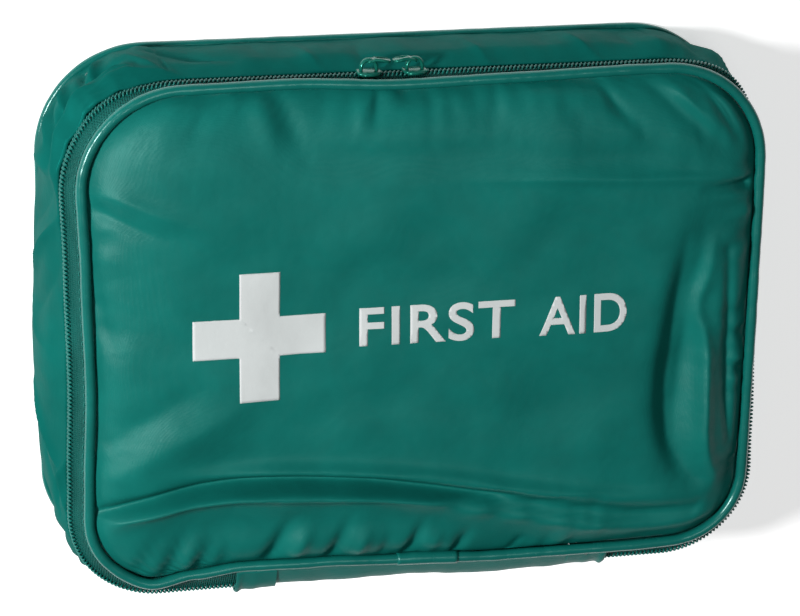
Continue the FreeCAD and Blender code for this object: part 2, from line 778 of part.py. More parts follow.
def adhesive_tape(height):
    centre = (
        f"{COLUMN} + 2 * Sizes.roll_margin + Sizes.wipe_length + Sizes.tape_roll_radius",
        f"{LOW_Y} + Sizes.glove_width / 2",
        height,
    )
    width = "Sizes.tape_roll_width"
    tube("adhesive_tape_roll", centre, "Sizes.tape_roll_radius", "Sizes.tape_roll_core", width)
    core = "Sizes.tape_roll_core - Sizes.seam_gap / 2"
    tube("tape_roll_core", centre, core, f"{core} - Sizes.tape_roll_core_wall", width)


def middle_column():
    low_y = f"{TOP_Y} - Sizes.large_dressing_width"
    extent = ("Sizes.large_dressing_length", "Sizes.large_dressing_width", "Sizes.large_dressing_depth")
    pack("large_dressing_pack", (MIDDLE, low_y, FLOOR), extent)
    second = f"{FLOOR} + Sizes.large_dressing_depth + Sizes.rest_gap"
    eye_y = f"{TOP_Y} - Sizes.eye_dressing_width"
    extent = ("Sizes.eye_dressing_length", "Sizes.eye_dressing_width", "Sizes.eye_dressing_depth")
    pack("eye_dressing_pack", (f"{MIDDLE} + 2", eye_y, second), extent)
    shield_y = f"{eye_y} - Sizes.column_gap - Sizes.face_shield_width"
    extent = ("Sizes.face_shield_length", "Sizes.face_shield_width", "Sizes.face_shield_depth")
    pack("face_shield_pack", (f"{MIDDLE} + 2", shield_y, second), extent)
    low_y = f"{low_y} - Sizes.column_gap - Sizes.medium_dressing_width"
    extent = ("Sizes.medium_dressing_length", "Sizes.medium_dressing_width", "Sizes.medium_dressing_depth")
    pack("lower_medium_dressing", (MIDDLE, low_y, FLOOR), extent)
    second = f"{FLOOR} + Sizes.medium_dressing_depth + Sizes.rest_gap"
    pack("upper_medium_dressing", (MIDDLE, low_y, second), extent)
    third = f"{second} + Sizes.medium_dressing_depth + Sizes.rest_gap"
    low = (f"{MIDDLE} + 2", f"{low_y} + 1", third)
    pack("guidance_leaflet", low, ("Sizes.leaflet_length", "Sizes.leaflet_width", "Sizes.leaflet_depth"))


def bandage_roll():
    roll = doc.addObject("Part::Cylinder", "conforming_roll")
    roll.setExpression("Radius", "Sizes.bandage_radius")
    roll.setExpression("Height", "Sizes.bandage_length")
    roll.Placement = FreeCAD.Placement(V(0, 0, 0), FreeCAD.Rotation(V(1, 0, 0), 90))
    roll.setExpression("Placement.Base.x", f"{RIGHT} + Sizes.bandage_radius")
    roll.setExpression("Placement.Base.y", TOP_Y)
    roll.setExpression("Placement.Base.z", f"{FLOOR} + Sizes.bandage_radius")
    node(roll, "conforming_bandage")


def tweezers():
    """A bent strip of sprung steel, lying on its edge with its tips apart."""
    length, opening, strip = size("tweezer_length"), size("tweezer_opening"), size("tweezer_strip")
    half, bend = opening / 2, strip * 1.6
    outer = [(bend, 0), (half, length), (half - strip, length), (bend - strip, bend)]
    points = outer + [(-px, py) for px, py in reversed(outer)]
    corners = [V(px, py, 0) for px, py in points]
    face = Part.Face(Part.makePolygon(corners + corners[:1]))
    feature = doc.addObject("Part::Feature", "tweezers_shape")
    feature.Shape = face.extrude(V(0, 0, size("tweezer_height")))
    column = middle_x() - size("column_gap") + size("large_dressing_length")
    x = column + size("column_gap") * 3 + size("bandage_radius") * 2 + opening / 2
    place = V(x, top_y() - length - size("column_gap"), size("panel") + size("rest_gap"))
    feature.Placement = FreeCAD.Placement(place, FreeCAD.Rotation())
    node(feature, "tweezers")


def pin_shape():
    """One closed safety pin: a long loop of wire with a capped head."""
    radius, half = size("pin_wire") / 2, size("pin_width") / 2
    straight = size("pin_length") - half * 2
    path = Part.Wire([
        Part.makeLine(V(0, -half, 0), V(straight, -half, 0)),
        Part.Arc(V(straight, -half, 0), V(straight + half, 0, 0), V(straight, half, 0)).toShape(),
        Part.makeLine(V(straight, half, 0), V(0, half, 0)),
    ])
    circle = Part.Wire([Part.makeCircle(radius, V(0, -half, 0), V(1, 0, 0))])
    wire = path.makePipeShell([circle], True, True)
    head = Part.makeBox(6, half * 2 + 2, size("pin_wire") * 1.6, V(-4, -half - 1, -size("pin_wire") * 0.8))
    return joined([head, wire])


def safety_pins():
    """Three pins in a row on the eye dressing."""
    half_head = size("pin_wire") * 0.8
    stack = size("panel") + size("rest_gap") + size("large_dressing_depth") + size("rest_gap")
    x = middle_x() + size("pin_width")
    y = top_y() - size("eye_dressing_width") + size("pin_pitch") * 1.5
    z = stack + size("eye_dressing_depth") + size("rest_gap") + half_head
    solids = []
    for index in range(3):
        pin = pin_shape()
        pin.translate(V(x, y + index * size("pin_pitch"), z))
        solids.append(pin)
    feature = doc.addObject("Part::Feature", "safety_pins_shape")
    feature.Shape = Part.makeCompound(solids)
    node(feature, "safety_pins")


# ---------------------------------------------------------------- scissors
def scissors_place():
    x = column_x() + size("scissors_along")
    y = top_y() - size("scissors_down")
    return V(x, y, size("stack_top") + size("rest_gap"))


def blade_half(side):
    """A blade and its shank, cut round the rivet; side is 1 or -1 across the pair."""
    long, wide, tip = size("blade_length"), size("blade_width"), size("blade_tip")
    shank, reach = size("shank_length"), size("shank_reach")
    half, edge = wide / 2, 1.2
    points = [
        (long, side * (edge - tip)), (long, side * edge), (0, side * half),
        (-shank, side * (reach + half * 0.5)), (-shank, side * (reach - half * 0.7)),
        (-4, -side * half), (6, -side * half),
    ]
    corners = [V(px, py, 0) for px, py in points]
    face = Part.Face(Part.makePolygon(corners + corners[:1]))
    return face.extrude(V(0, 0, size("blade_thickness")))


def grip(side, low):
    """A moulded finger ring with a stub that takes the end of its shank."""
    shank, reach = size("shank_length"), size("shank_reach")
    ring_radius, hole, thick = size("finger_ring"), size("finger_hole"), size("grip_thickness")
    centre = V(-shank - ring_radius - 3, side * (reach + 4), low)
    outer = Part.makeCylinder(ring_radius, thick, centre)
    bore = Part.makeCylinder(hole, thick * 2, V(centre.x, centre.y, low - thick / 2))
    neck_wide = size("blade_width") / 2
    neck_end = -shank - size("seam_gap")
    corner = V(neck_end - ring_radius, side * reach - neck_wide / 2, low)
    neck = Part.makeBox(ring_radius, neck_wide, thick, corner)
    return outer.fuse(neck).cut(bore).removeSplitter()


def scissors():
    place = scissors_place()
    thick, gap = size("blade_thickness"), size("blade_gap")
    lift = size("grip_thickness") / 2 - thick - gap / 2
    lower = blade_half(1)
    lower.translate(V(0, 0, lift))
    upper = blade_half(-1)
    upper.translate(V(0, 0, lift + thick + gap))
    radius = size("rivet_radius")
    hole = Part.makeCylinder(radius / 2 + 0.05, thick * 4, V(0, 0, 0))
    pin = Part.makeCylinder(radius / 2, thick * 2 + gap * 3, V(0, 0, lift - gap))
    head = Part.makeCylinder(radius, 0.6, V(0, 0, lift + thick * 2 + gap * 2))
    foot = Part.makeCylinder(radius, 0.6, V(0, 0, lift - gap - 0.6))
    shapes = {
        "scissors_lower_blade": lower.cut(hole),
        "scissors_upper_blade": upper.cut(hole),
        "scissors_rivet": joined([pin, head, foot]),
        "scissors_lower_grip": grip(1, 0),
        "scissors_upper_grip": grip(-1, 0),
    }
    for label, shape in shapes.items():
        feature = doc.addObject("Part::Feature", label + "_shape")
        feature.Shape = shape
        feature.Placement = FreeCAD.Placement(place, FreeCAD.Rotation())
        node(feature, label)


# ---------------------------------------------------------------- build, check and write
def check_and_write():
    doc.recompute()
    for thing in doc.Objects:
        if "Invalid" in thing.State or "Error" in thing.State:
            raise RuntimeError(f"{thing.Name} didn't build: {thing.State}")
    for label, thing in NODES.items():
        if thing.Shape.isNull() or not thing.Shape.isValid() or not thing.Shape.Solids:
            raise RuntimeError(f"{label} has no sound shape")
    os.makedirs("parts", exist_ok=True)
    whole = FreeCAD.BoundBox()
    for label, thing in NODES.items():
        thing.Shape.exportStep(f"parts/{label}.step")
        whole.add(thing.Shape.BoundBox)
    print(f"{len(NODES)} nodes, {whole.XMin:.2f} {whole.XMax:.2f} {whole.YMin:.2f} "
          f"{whole.YMax:.2f} {whole.ZMin:.2f} {whole.ZMax:.2f}")


back_shell()
gussets()
zips()
bindings()
end_tabs()
front_shell()
piping_sleeve()
print_solid("cross_print", [cross_points()], size("cross_x"), size("cross_y"))
print_solid("lettering_print", lettering(), size("letter_x"), size("letter_y"))
sliders()
above_gloves = left_column()
wipes(above_gloves)
adhesive_tape(above_gloves)
middle_column()
bandage_roll()
tweezers()
safety_pins()
scissors()
check_and_write()
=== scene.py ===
import math

import bmesh
import bpy
import numpy as np
from mathutils import Matrix, Vector, noise
from mathutils.bvhtree import BVHTree


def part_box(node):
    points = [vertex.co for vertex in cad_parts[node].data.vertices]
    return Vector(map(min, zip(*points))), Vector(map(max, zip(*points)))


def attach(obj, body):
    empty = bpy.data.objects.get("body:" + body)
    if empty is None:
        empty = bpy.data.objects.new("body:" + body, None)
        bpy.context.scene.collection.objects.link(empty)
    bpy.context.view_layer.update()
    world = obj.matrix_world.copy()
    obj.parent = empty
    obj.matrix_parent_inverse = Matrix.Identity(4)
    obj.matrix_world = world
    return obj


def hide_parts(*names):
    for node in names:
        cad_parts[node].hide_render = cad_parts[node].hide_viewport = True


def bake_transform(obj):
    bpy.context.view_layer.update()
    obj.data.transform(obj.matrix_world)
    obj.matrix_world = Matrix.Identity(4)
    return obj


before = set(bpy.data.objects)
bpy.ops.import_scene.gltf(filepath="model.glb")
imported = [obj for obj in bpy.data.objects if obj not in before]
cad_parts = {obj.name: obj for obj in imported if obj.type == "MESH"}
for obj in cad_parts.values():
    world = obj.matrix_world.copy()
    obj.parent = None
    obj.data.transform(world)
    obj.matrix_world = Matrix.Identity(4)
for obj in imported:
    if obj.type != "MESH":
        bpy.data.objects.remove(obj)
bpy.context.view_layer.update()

# A soft zip-round first aid pouch on its back: +Z through the front cover, +Y to its top edge.
# Lengths are in millimetres until add_piece() makes metres of them.
MM = 0.001


def span(node):
    """A CAD node's lowest and highest corners, in millimetres."""
    low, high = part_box(node)
    return np.array(low) / MM, np.array(high) / MM


def eased(where, knots):
    """A smooth line through (place, value) knots, level at each of them."""
    places = np.array([k[0] for k in knots], float)
    values = np.array([k[1] for k in knots], float)
    where = np.clip(where, places[0], places[-1])
    index = np.clip(np.searchsorted(places, where, side="right") - 1, 0, len(places) - 2)
    part = (where - places[index]) / (places[index + 1] - places[index])
    part = part * part * (3 - 2 * part)
    return values[index] * (1 - part) + values[index + 1] * part


def ripple(points, scale, seed):
    """Smooth noise, about -1 to 1, for an array of points; scale is the size of its lumps in mm."""
    scale = np.broadcast_to(np.asarray(scale, float), (3,))
    flat = np.asarray(points, float).reshape(-1, 3) / scale + (seed * 7.31, seed * 3.17, 0)
    values = [noise.noise(Vector(p)) for p in flat]
    return 1.8 * np.array(values).reshape(np.asarray(points).shape[:-1])


# ---------------------------------------------------------------- the pouch's outlines
PIPING, BACK_PIPING = 3.6, 3.0
FRONT_PLANE, ZIP_PLANE, BELLY_PLANE, BACK_PLANE = 46.0, 37.5, 20.0, 1.5
COIL_PROUD = 0.6
FRONT_RADII, ZIP_RADII, BELLY_RADII, BACK_RADII = (34, 26), (38, 32), (38, 34), (36, 30)
HINGE_LEFT, HINGE_RIGHT = span("cover_hinge_band")[0][0], span("cover_hinge_band")[1][0]
STRETCHES = 10           # pieces of an outline; the last is the hinge strip
ZIP_END = STRETCHES - 1


class Outline:
    """A rounded rectangle walked anticlockwise, from the right end of the hinge strip."""

    def __init__(self, low, high, radii, inset):
        self.left, self.bottom = low[0] + inset, low[1] + inset
        self.right, self.top = high[0] - inset, high[1] - inset
        self.radius_top, self.radius_bottom = radii[0] - inset, radii[1] - inset
        left, right, bottom, top = self.left, self.right, self.bottom, self.top
        upper, lower = self.radius_top, self.radius_bottom
        self.stretches = [
            self.line((HINGE_RIGHT, bottom), (right - lower, bottom)),
            self.arc((right - lower, bottom + lower), lower, -90),
            self.line((right, bottom + lower), (right, top - upper)),
            self.arc((right - upper, top - upper), upper, 0),
            self.line((right - upper, top), (left + upper, top)),
            self.arc((left + upper, top - upper), upper, 90),
            self.line((left, top - upper), (left, bottom + lower)),
            self.arc((left + lower, bottom + lower), lower, 180),
            self.line((left + lower, bottom), (HINGE_LEFT, bottom)),
            self.line((HINGE_LEFT, bottom), (HINGE_RIGHT, bottom)),
        ]

    @staticmethod
    def line(start, end):
        start, end = np.array(start, float), np.array(end, float)
        along = (end - start) / np.linalg.norm(end - start)
        outward = np.array([along[1], -along[0]])

        def walk(part):
            return start + part[:, None] * (end - start), np.repeat(outward[None], len(part), 0)
        return walk, float(np.linalg.norm(end - start))

    @staticmethod
    def arc(centre, radius, start):
        def walk(part):
            angle = np.radians(start + 90 * part)
            outward = np.column_stack([np.cos(angle), np.sin(angle)])
            return np.array(centre) + radius * outward, outward
        return walk, math.pi / 2 * radius

    def at(self, places):
        """Points and outward directions at places from 0 to 10."""
        places = np.asarray(places, float)
        points, outward = np.zeros((len(places), 2)), np.zeros((len(places), 2))
        index = np.clip(np.floor(places).astype(int), 0, STRETCHES - 1)
        for number, (walk, _) in enumerate(self.stretches):
            here = index == number
            if here.any():
                points[here], outward[here] = walk(places[here] - number)
        return points, outward

    def inset_of(self, x, y):
        """How far inside the outline a point is."""
        middle_x, middle_y = (self.left + self.right) / 2, (self.bottom + self.top) / 2
        radius = np.where(y > middle_y, self.radius_top, self.radius_bottom)
        over_x = np.abs(x - middle_x) - (self.right - self.left) / 2 + radius
        over_y = np.abs(y - middle_y) - (self.top - self.bottom) / 2 + radius
        corner = np.hypot(np.maximum(over_x, 0), np.maximum(over_y, 0))
        return radius - corner - np.minimum(np.maximum(over_x, over_y), 0)


def outline_of(node, radii, inset):
    low, high = span(node)
    return Outline(low[:2], high[:2], radii, inset)


FRONT = outline_of("front_piping", FRONT_RADII, 0)
FRONT_CORD = outline_of("front_piping", FRONT_RADII, PIPING / 2)
ZIP = outline_of("rear_zip_coil", ZIP_RADII, COIL_PROUD)
BELLY = outline_of("wall_gusset", BELLY_RADII, 0)
BACK_CORD = outline_of("back_piping", BACK_RADII, BACK_PIPING / 2)


def around(step, first=0, last=STRETCHES):
    """Places about step mm apart; a run that isn't the whole loop has its end place too."""
    places = []
    for index in range(first, last):
        count = max(3, round(BELLY.stretches[index][1] / step))
        places.extend(index + np.arange(count) / count)
    if (first, last) != (0, STRETCHES):
        places.append(last - 1e-6)
    return np.array(places)


def wall(places, height):
    """The pouch's side at one height: points and outward directions."""
    if height <= BELLY_PLANE:
        part = math.sin(math.pi / 2 * (height - BACK_PLANE) / (BELLY_PLANE - BACK_PLANE))
        low, high = BACK_CORD, BELLY
    elif height <= ZIP_PLANE:
        part = 1 - math.cos(math.pi / 2 * (height - BELLY_PLANE) / (ZIP_PLANE - BELLY_PLANE))
        low, high = BELLY, ZIP
    else:
        part = (height - ZIP_PLANE) / (FRONT_PLANE - ZIP_PLANE)
        low, high = ZIP, FRONT_CORD
    (low_points, outward), (high_points, _) = low.at(places), high.at(places)
    return low_points * (1 - part) + high_points * part, outward


# how far the soft front edge strays outwards along each side: (x or y, mm)
STRAY = {
    "bottom": [(-104, 0.4), (-91, 1.6), (-76, -1.4), (-60, -3.1), (-33, -2.4), (-5, -1.0), (28, 0.6),
               (76, 0.7), (104, 0.0)],
    "top": [(-85, 0.0), (-45, 0.5), (-9, -1.2), (30, -0.5), (72, 0.4), (100, 0.0)],
    "left": [(-78, 0.2), (-47, -0.5), (-15, -1.5), (25, -0.5), (55, 0.7), (80, 0.1)],
    "right": [(-70, 0.0), (-20, 0.5), (40, 0.6), (75, 0.0)],
}
STRAY_FROM = {"bottom": 38, "top": 39.5, "left": 22, "right": 20}     # height where it sets in
STRAY_REACH = 16.0
# the full pouch leans out over its back piping on the left: (y, mm)
BACK_LEAN = [(-70, 0.0), (-40, 2.4), (-10, 3.6), (25, 2.4), (55, 0.6), (80, 0.0)]
# and draws in under the front piping on the right, and along the zip at the top
RIGHT_LEAN = [(-75, 0.0), (-45, 1.0), (-10, 2.2), (35, 3.2), (70, 3.0), (88, 1.0)]
TOP_TUCK, LEFT_TUCK = 2.4, 1.2


def stray(points):
    """Moves points with the soft front edge: whole at the piping, less towards the back."""
    points = np.array(points, float)
    x, y, z = points[..., 0].copy(), points[..., 1].copy(), points[..., 2]
    sides = (("bottom", 1, -1, x, y - FRONT.bottom), ("top", 1, 1, x, FRONT.top - y),
             ("left", 0, -1, y, x - FRONT.left), ("right", 0, 1, y, FRONT.right - x))
    for side, axis, way, along, inside in sides:
        weight = eased(z, [(STRAY_FROM[side], 0), (FRONT_PLANE, 1)])
        near = np.exp(-np.maximum(inside, 0) / STRAY_REACH)
        points[..., axis] += way * eased(along, STRAY[side]) * weight * near
    near = np.exp(-np.maximum(x - BACK_CORD.left, 0) / STRAY_REACH)
    points[..., 0] -= eased(y, BACK_LEAN) * eased(z, [(6, 1), (34, 0)]) * near
    near = np.exp(-np.maximum(FRONT.right - x, 0) / STRAY_REACH)
    points[..., 0] -= eased(y, RIGHT_LEAN) * eased(z, [(8, 0), (24, 1), (39, 1), (44, 0)]) * near
    near = np.exp(-np.maximum(FRONT.top - y, 0) / STRAY_REACH)
    tuck = eased(x, [(-112, 0), (-86, 1), (86, 1), (114, 0)]) * near
    level = eased(z, [(25, 0), (36, 1), (40.5, 1), (45, 0)])
    points[..., 1] -= TOP_TUCK * tuck * level
    near = np.exp(-np.maximum(x - FRONT.left, 0) / STRAY_REACH)
    points[..., 0] += LEFT_TUCK * near * level * eased(y, [(-88, 0), (-60, 1), (60, 1), (88, 0.4)])
    return points


# ---------------------------------------------------------------- meshes
def grid_faces(rows, columns, wrap_rows=False, wrap_columns=False):
    faces = []
    for row in range(rows if wrap_rows else rows - 1):
        below, above = row * columns, (row + 1) % rows * columns
        for column in range(columns if wrap_columns else columns - 1):
            beside = (column + 1) % columns
            faces.append((below + column, below + beside, above + beside, above + column))
    return faces


class Shape:
    """Points in mm and faces, gathered from several parts."""

    def __init__(self):
        self.points, self.faces = [], []

    def add(self, points, faces):
        start = len(self.points)
        self.points.extend(tuple(p) for p in np.asarray(points, float).reshape(-1, 3))
        self.faces.extend(tuple(start + i for i in face) for face in faces)
        return self

    def grid(self, grid, wrap_rows=False, wrap_columns=False, caps=False):
        """A grid of points; caps closes the ends of a tube that runs along the columns."""
        rows, columns = grid.shape[:2]
        faces = grid_faces(rows, columns, wrap_rows, wrap_columns)
        if caps:
            faces.append(tuple(row * columns for row in range(rows)))
            faces.append(tuple(row * columns + columns - 1 for row in reversed(range(rows))))
        return self.add(grid, faces)


def make_object(name, shape):
    mesh = bpy.data.meshes.new(name)
    mesh.from_pydata([tuple(c * MM for c in p) for p in shape.points], [], shape.faces)
    work = bmesh.new()
    work.from_mesh(mesh)
    bmesh.ops.recalc_face_normals(work, faces=work.faces)
    work.to_mesh(mesh)
    work.free()
    mesh.shade_smooth()
    piece = bpy.data.objects.new(name, mesh)
    bpy.context.collection.objects.link(piece)
    return piece


def settle(piece):
    """Applies a piece's modifiers, so that its mesh is final."""
    bpy.context.view_layer.update()
    seen = piece.evaluated_get(bpy.context.evaluated_depsgraph_get())
    mesh = bpy.data.meshes.new_from_object(seen)
    piece.modifiers.clear()
    old, piece.data = piece.data, mesh
    bpy.data.meshes.remove(old)


def add_piece(name, shape, look, body, nodes=(), thick=0.0, divide=0):
    """A finished piece: cloth gets its thickness, inwards from the surface given."""
    piece = make_object(name, shape)
    if divide:
        piece.modifiers.new("divide", "SUBSURF").levels = divide
    if thick:
        solid = piece.modifiers.new("cloth", "SOLIDIFY")
        solid.thickness, solid.offset = thick * MM, -1
    if divide or thick:
        settle(piece)
    piece.data.materials.clear()
    piece.data.materials.append(look)
    if body:
        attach(piece, body)
    if nodes:
        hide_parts(*nodes)
    return piece


def sweep(profile, places):
    """A grid: a profile of (outwards from the wall, height) carried along places."""
    rows = []
    for outwards, height in profile:
        points, outward = wall(places, height)
        points = points + outwards * outward
        rows.append(np.column_stack([points, np.full(len(points), float(height))]))
    return stray(np.array(rows))


def rounded(width, height, radius, corner_points=4):
    """A rounded rectangle about the origin, as points."""
    points = []
    for quarter, (side_x, side_y) in enumerate(((1, 1), (-1, 1), (-1, -1), (1, -1))):
        for step in range(corner_points + 1):
            angle = math.pi / 2 * (quarter + step / corner_points)
            points.append((side_x * (width / 2 - radius) + radius * math.cos(angle),
                           side_y * (height / 2 - radius) + radius * math.sin(angle)))
    return np.array(points)


def tube(path, radius, sides=10, closed=False, squash=1.0, up=(0, 0, 1)):
    """A grid round a path: rows go round the tube, columns along it."""
    path = np.asarray(path, float)
    ahead = np.roll(path, -1, 0) - np.roll(path, 1, 0)
    if not closed:
        ahead[0], ahead[-1] = path[1] - path[0], path[-1] - path[-2]
    ahead /= np.linalg.norm(ahead, axis=1)[:, None]
    side = np.cross(ahead, np.array(up, float))
    side /= np.linalg.norm(side, axis=1)[:, None]
    above = np.cross(side, ahead)
    radius = np.broadcast_to(radius, (len(path),))[:, None]
    rows = []
    for step in range(sides):
        angle = 2 * math.pi * step / sides
        rows.append(path + radius * (math.cos(angle) * side + squash * math.sin(angle) * above))
    return np.array(rows)


def plate(outline, thickness, bevel):
    """A flat plate with rounded rims: points (n, 3) and faces, its face in XY, centred on z = 0."""
    work = bmesh.new()
    face = work.faces.new([work.verts.new((x, y, -thickness / 2)) for x, y in outline])
    sides = bmesh.ops.extrude_face_region(work, geom=[face])
    lifted = [g for g in sides["geom"] if isinstance(g, bmesh.types.BMVert)]
    bmesh.ops.translate(work, verts=lifted, vec=(0, 0, thickness))
    rims = [e for e in work.edges if abs(e.verts[0].co.z - e.verts[1].co.z) < thickness / 2]
    bmesh.ops.bevel(work, geom=rims, offset=bevel, segments=3, affect="EDGES", profile=0.5)
    work.verts.index_update()
    points = np.array([v.co[:] for v in work.verts])
    faces = [tuple(v.index for v in f.verts) for f in work.faces]
    work.free()
    return points, faces


# ---------------------------------------------------------------- materials
def texture(tree, kind, coordinates, **settings):
    made = tree.nodes.new(kind)
    for key, value in settings.items():
        if key in made.inputs:
            made.inputs[key].default_value = value
        else:
            setattr(made, key, value)
    tree.links.new(coordinates, made.inputs["Vector"])
    return made.outputs["Fac"] if "Fac" in made.outputs else made.outputs[0]


def arithmetic(tree, operation, first, second):
    made = tree.nodes.new("ShaderNodeMath")
    made.operation = operation
    for socket, value in zip(made.inputs, (first, second)):
        if isinstance(value, (int, float)):
            socket.default_value = value
        else:
            tree.links.new(value, socket)
    return made.outputs[0]


def ramp(tree, factor, stops):
    """A colour ramp between two stops, (place, colour)."""
    made = tree.nodes.new("ShaderNodeValToRGB")
    tree.links.new(factor, made.inputs["Fac"])
    for element, (place, colour) in zip(made.color_ramp.elements, stops):
        element.position, element.color = place, (*colour, 1)
    return made.outputs["Color"]


def shade(colour, factor):
    return tuple(min(1.0, c * factor) for c in colour)


def weave(tree, coordinates, per_metre):
    """Threads both ways: two crossed wave textures."""
    across = [texture(tree, "ShaderNodeTexWave", coordinates, Scale=per_metre, bands_direction=axis)
              for axis in ("X", "Y", "Z")]
    return arithmetic(tree, "ADD", across[0], arithmetic(tree, "MULTIPLY", across[1], across[2]))


BUMP_KINDS = {
    "cells": ("ShaderNodeTexVoronoi", {"feature": "SMOOTH_F1"}),
    "rings": ("ShaderNodeTexWave", {"bands_direction": "DIAGONAL", "Distortion": 2.0}),
    "noise": ("ShaderNodeTexNoise", {"Detail": 5.0, "Roughness": 0.55}),
}


def make_look(name, colour, roughness, spread=0.06, bumps=(), patch=45, contrast=0.1,
              **shader_values):
    """A material: patchy colour and roughness, and layers of bump (kind, per metre, mm)."""
    look = bpy.data.materials.new(name)
    look.use_nodes = True
    tree = look.node_tree
    shader = tree.nodes["Principled BSDF"]
    place = tree.nodes.new("ShaderNodeTexCoord").outputs["Object"]
    cloud = texture(tree, "ShaderNodeTexNoise", place, Scale=patch, Detail=3.0, Roughness=0.6)
    tint = ramp(tree, cloud, [(0.3, shade(colour, 1 - contrast)), (0.7, shade(colour, 1 + contrast))])
    tree.links.new(tint, shader.inputs["Base Color"])
    grain = texture(tree, "ShaderNodeTexNoise", place, Scale=patch * 6, Detail=4.0)
    rough = arithmetic(tree, "MULTIPLY_ADD", grain, spread * 2)
    rough.node.inputs[2].default_value = roughness - spread
    tree.links.new(rough, shader.inputs["Roughness"])
    normal = None
    for kind, per_metre, depth in bumps:
        if kind == "weave":
            height = weave(tree, place, per_metre)
        else:
            node, settings = BUMP_KINDS[kind]
            height = texture(tree, node, place, Scale=per_metre, **settings)
        bump = tree.nodes.new("ShaderNodeBump")
        bump.inputs["Distance"].default_value = depth * MM
        tree.links.new(height, bump.inputs["Height"])
        if normal:
            tree.links.new(normal, bump.inputs["Normal"])
        normal = bump.outputs["Normal"]
    if normal:
        tree.links.new(normal, shader.inputs["Normal"])
    for key, value in shader_values.items():
        shader.inputs[key.replace("_", " ")].default_value = value
    return look


GREEN = (0.004, 0.138, 0.116)
COATED = [("noise", 90, 0.25), ("noise", 420, 0.06), ("weave", 900, 0.02)]
NYLON = make_look("coated_nylon_satin", GREEN, 0.42, 0.05, COATED, Specular_IOR_Level=0.14,
                  Metallic=0.05)
CORD = make_look("piping_pvc", GREEN, 0.26, 0.05,
                 [("noise", 260, 0.12), ("noise", 60, 0.2)],
                 Specular_IOR_Level=0.4, Metallic=0.1)
# the side cloth is darker and duller than the front only to suit this light: its quarter-darker colour
# is painted shade on the sides
SHADED_SIDE_NYLON = make_look("coated_nylon_side_painted_shade", shade(GREEN, 0.74), 0.34, 0.05, COATED,
                       Specular_IOR_Level=0.0, Metallic=0.1)
TAPE = make_look("zip_tape_weave", shade(GREEN, 0.62), 0.62, 0.08,
                 [("weave", 420, 0.22), ("noise", 700, 0.1)], contrast=0.16,
                 Specular_IOR_Level=0.15)
COIL = make_look("zip_coil_nylon", GREEN, 0.34, 0.06, [("noise", 900, 0.03)],
                 Specular_IOR_Level=0.3)
BINDING = make_look("binding_weave", shade(GREEN, 0.6), 0.75, 0.08,
                    [("weave", 520, 0.2)], contrast=0.14, Sheen_Weight=0.2)
THREAD = make_look("sewing_thread", shade(GREEN, 1.5), 0.55, 0.08, [("rings", 2600, 0.05)])
ENAMEL = make_look("slider_enamel", (0.006, 0.13, 0.095), 0.22, 0.05, [("noise", 500, 0.04)],
                   Specular_IOR_Level=0.12, Metallic=0.3)
PRINT = make_look("white_screen_print", (0.57, 0.605, 0.60), 0.6, 0.08,
                  [("noise", 420, 0.06), ("weave", 900, 0.02)], contrast=0.03,
                  Specular_IOR_Level=0.2)

CASE, COVER = "case_body", "front_cover"

# ---------------------------------------------------------------- gusset
GUSSET_FOOT, GUSSET_EDGE = BACK_PLANE + 0.4, 34.6
GUSSET_ROWS, GUSSET_STEP = 60, 0.9
CLOTH, PANEL_CLOTH = 0.7, 0.8            # thicknesses
LIP_DEPTH, LIP_DROP, EDGE_TURN = 1.1, 0.3, 0.25
SWELL_FOOT = 2.0                         # the side cloth swells out from this height
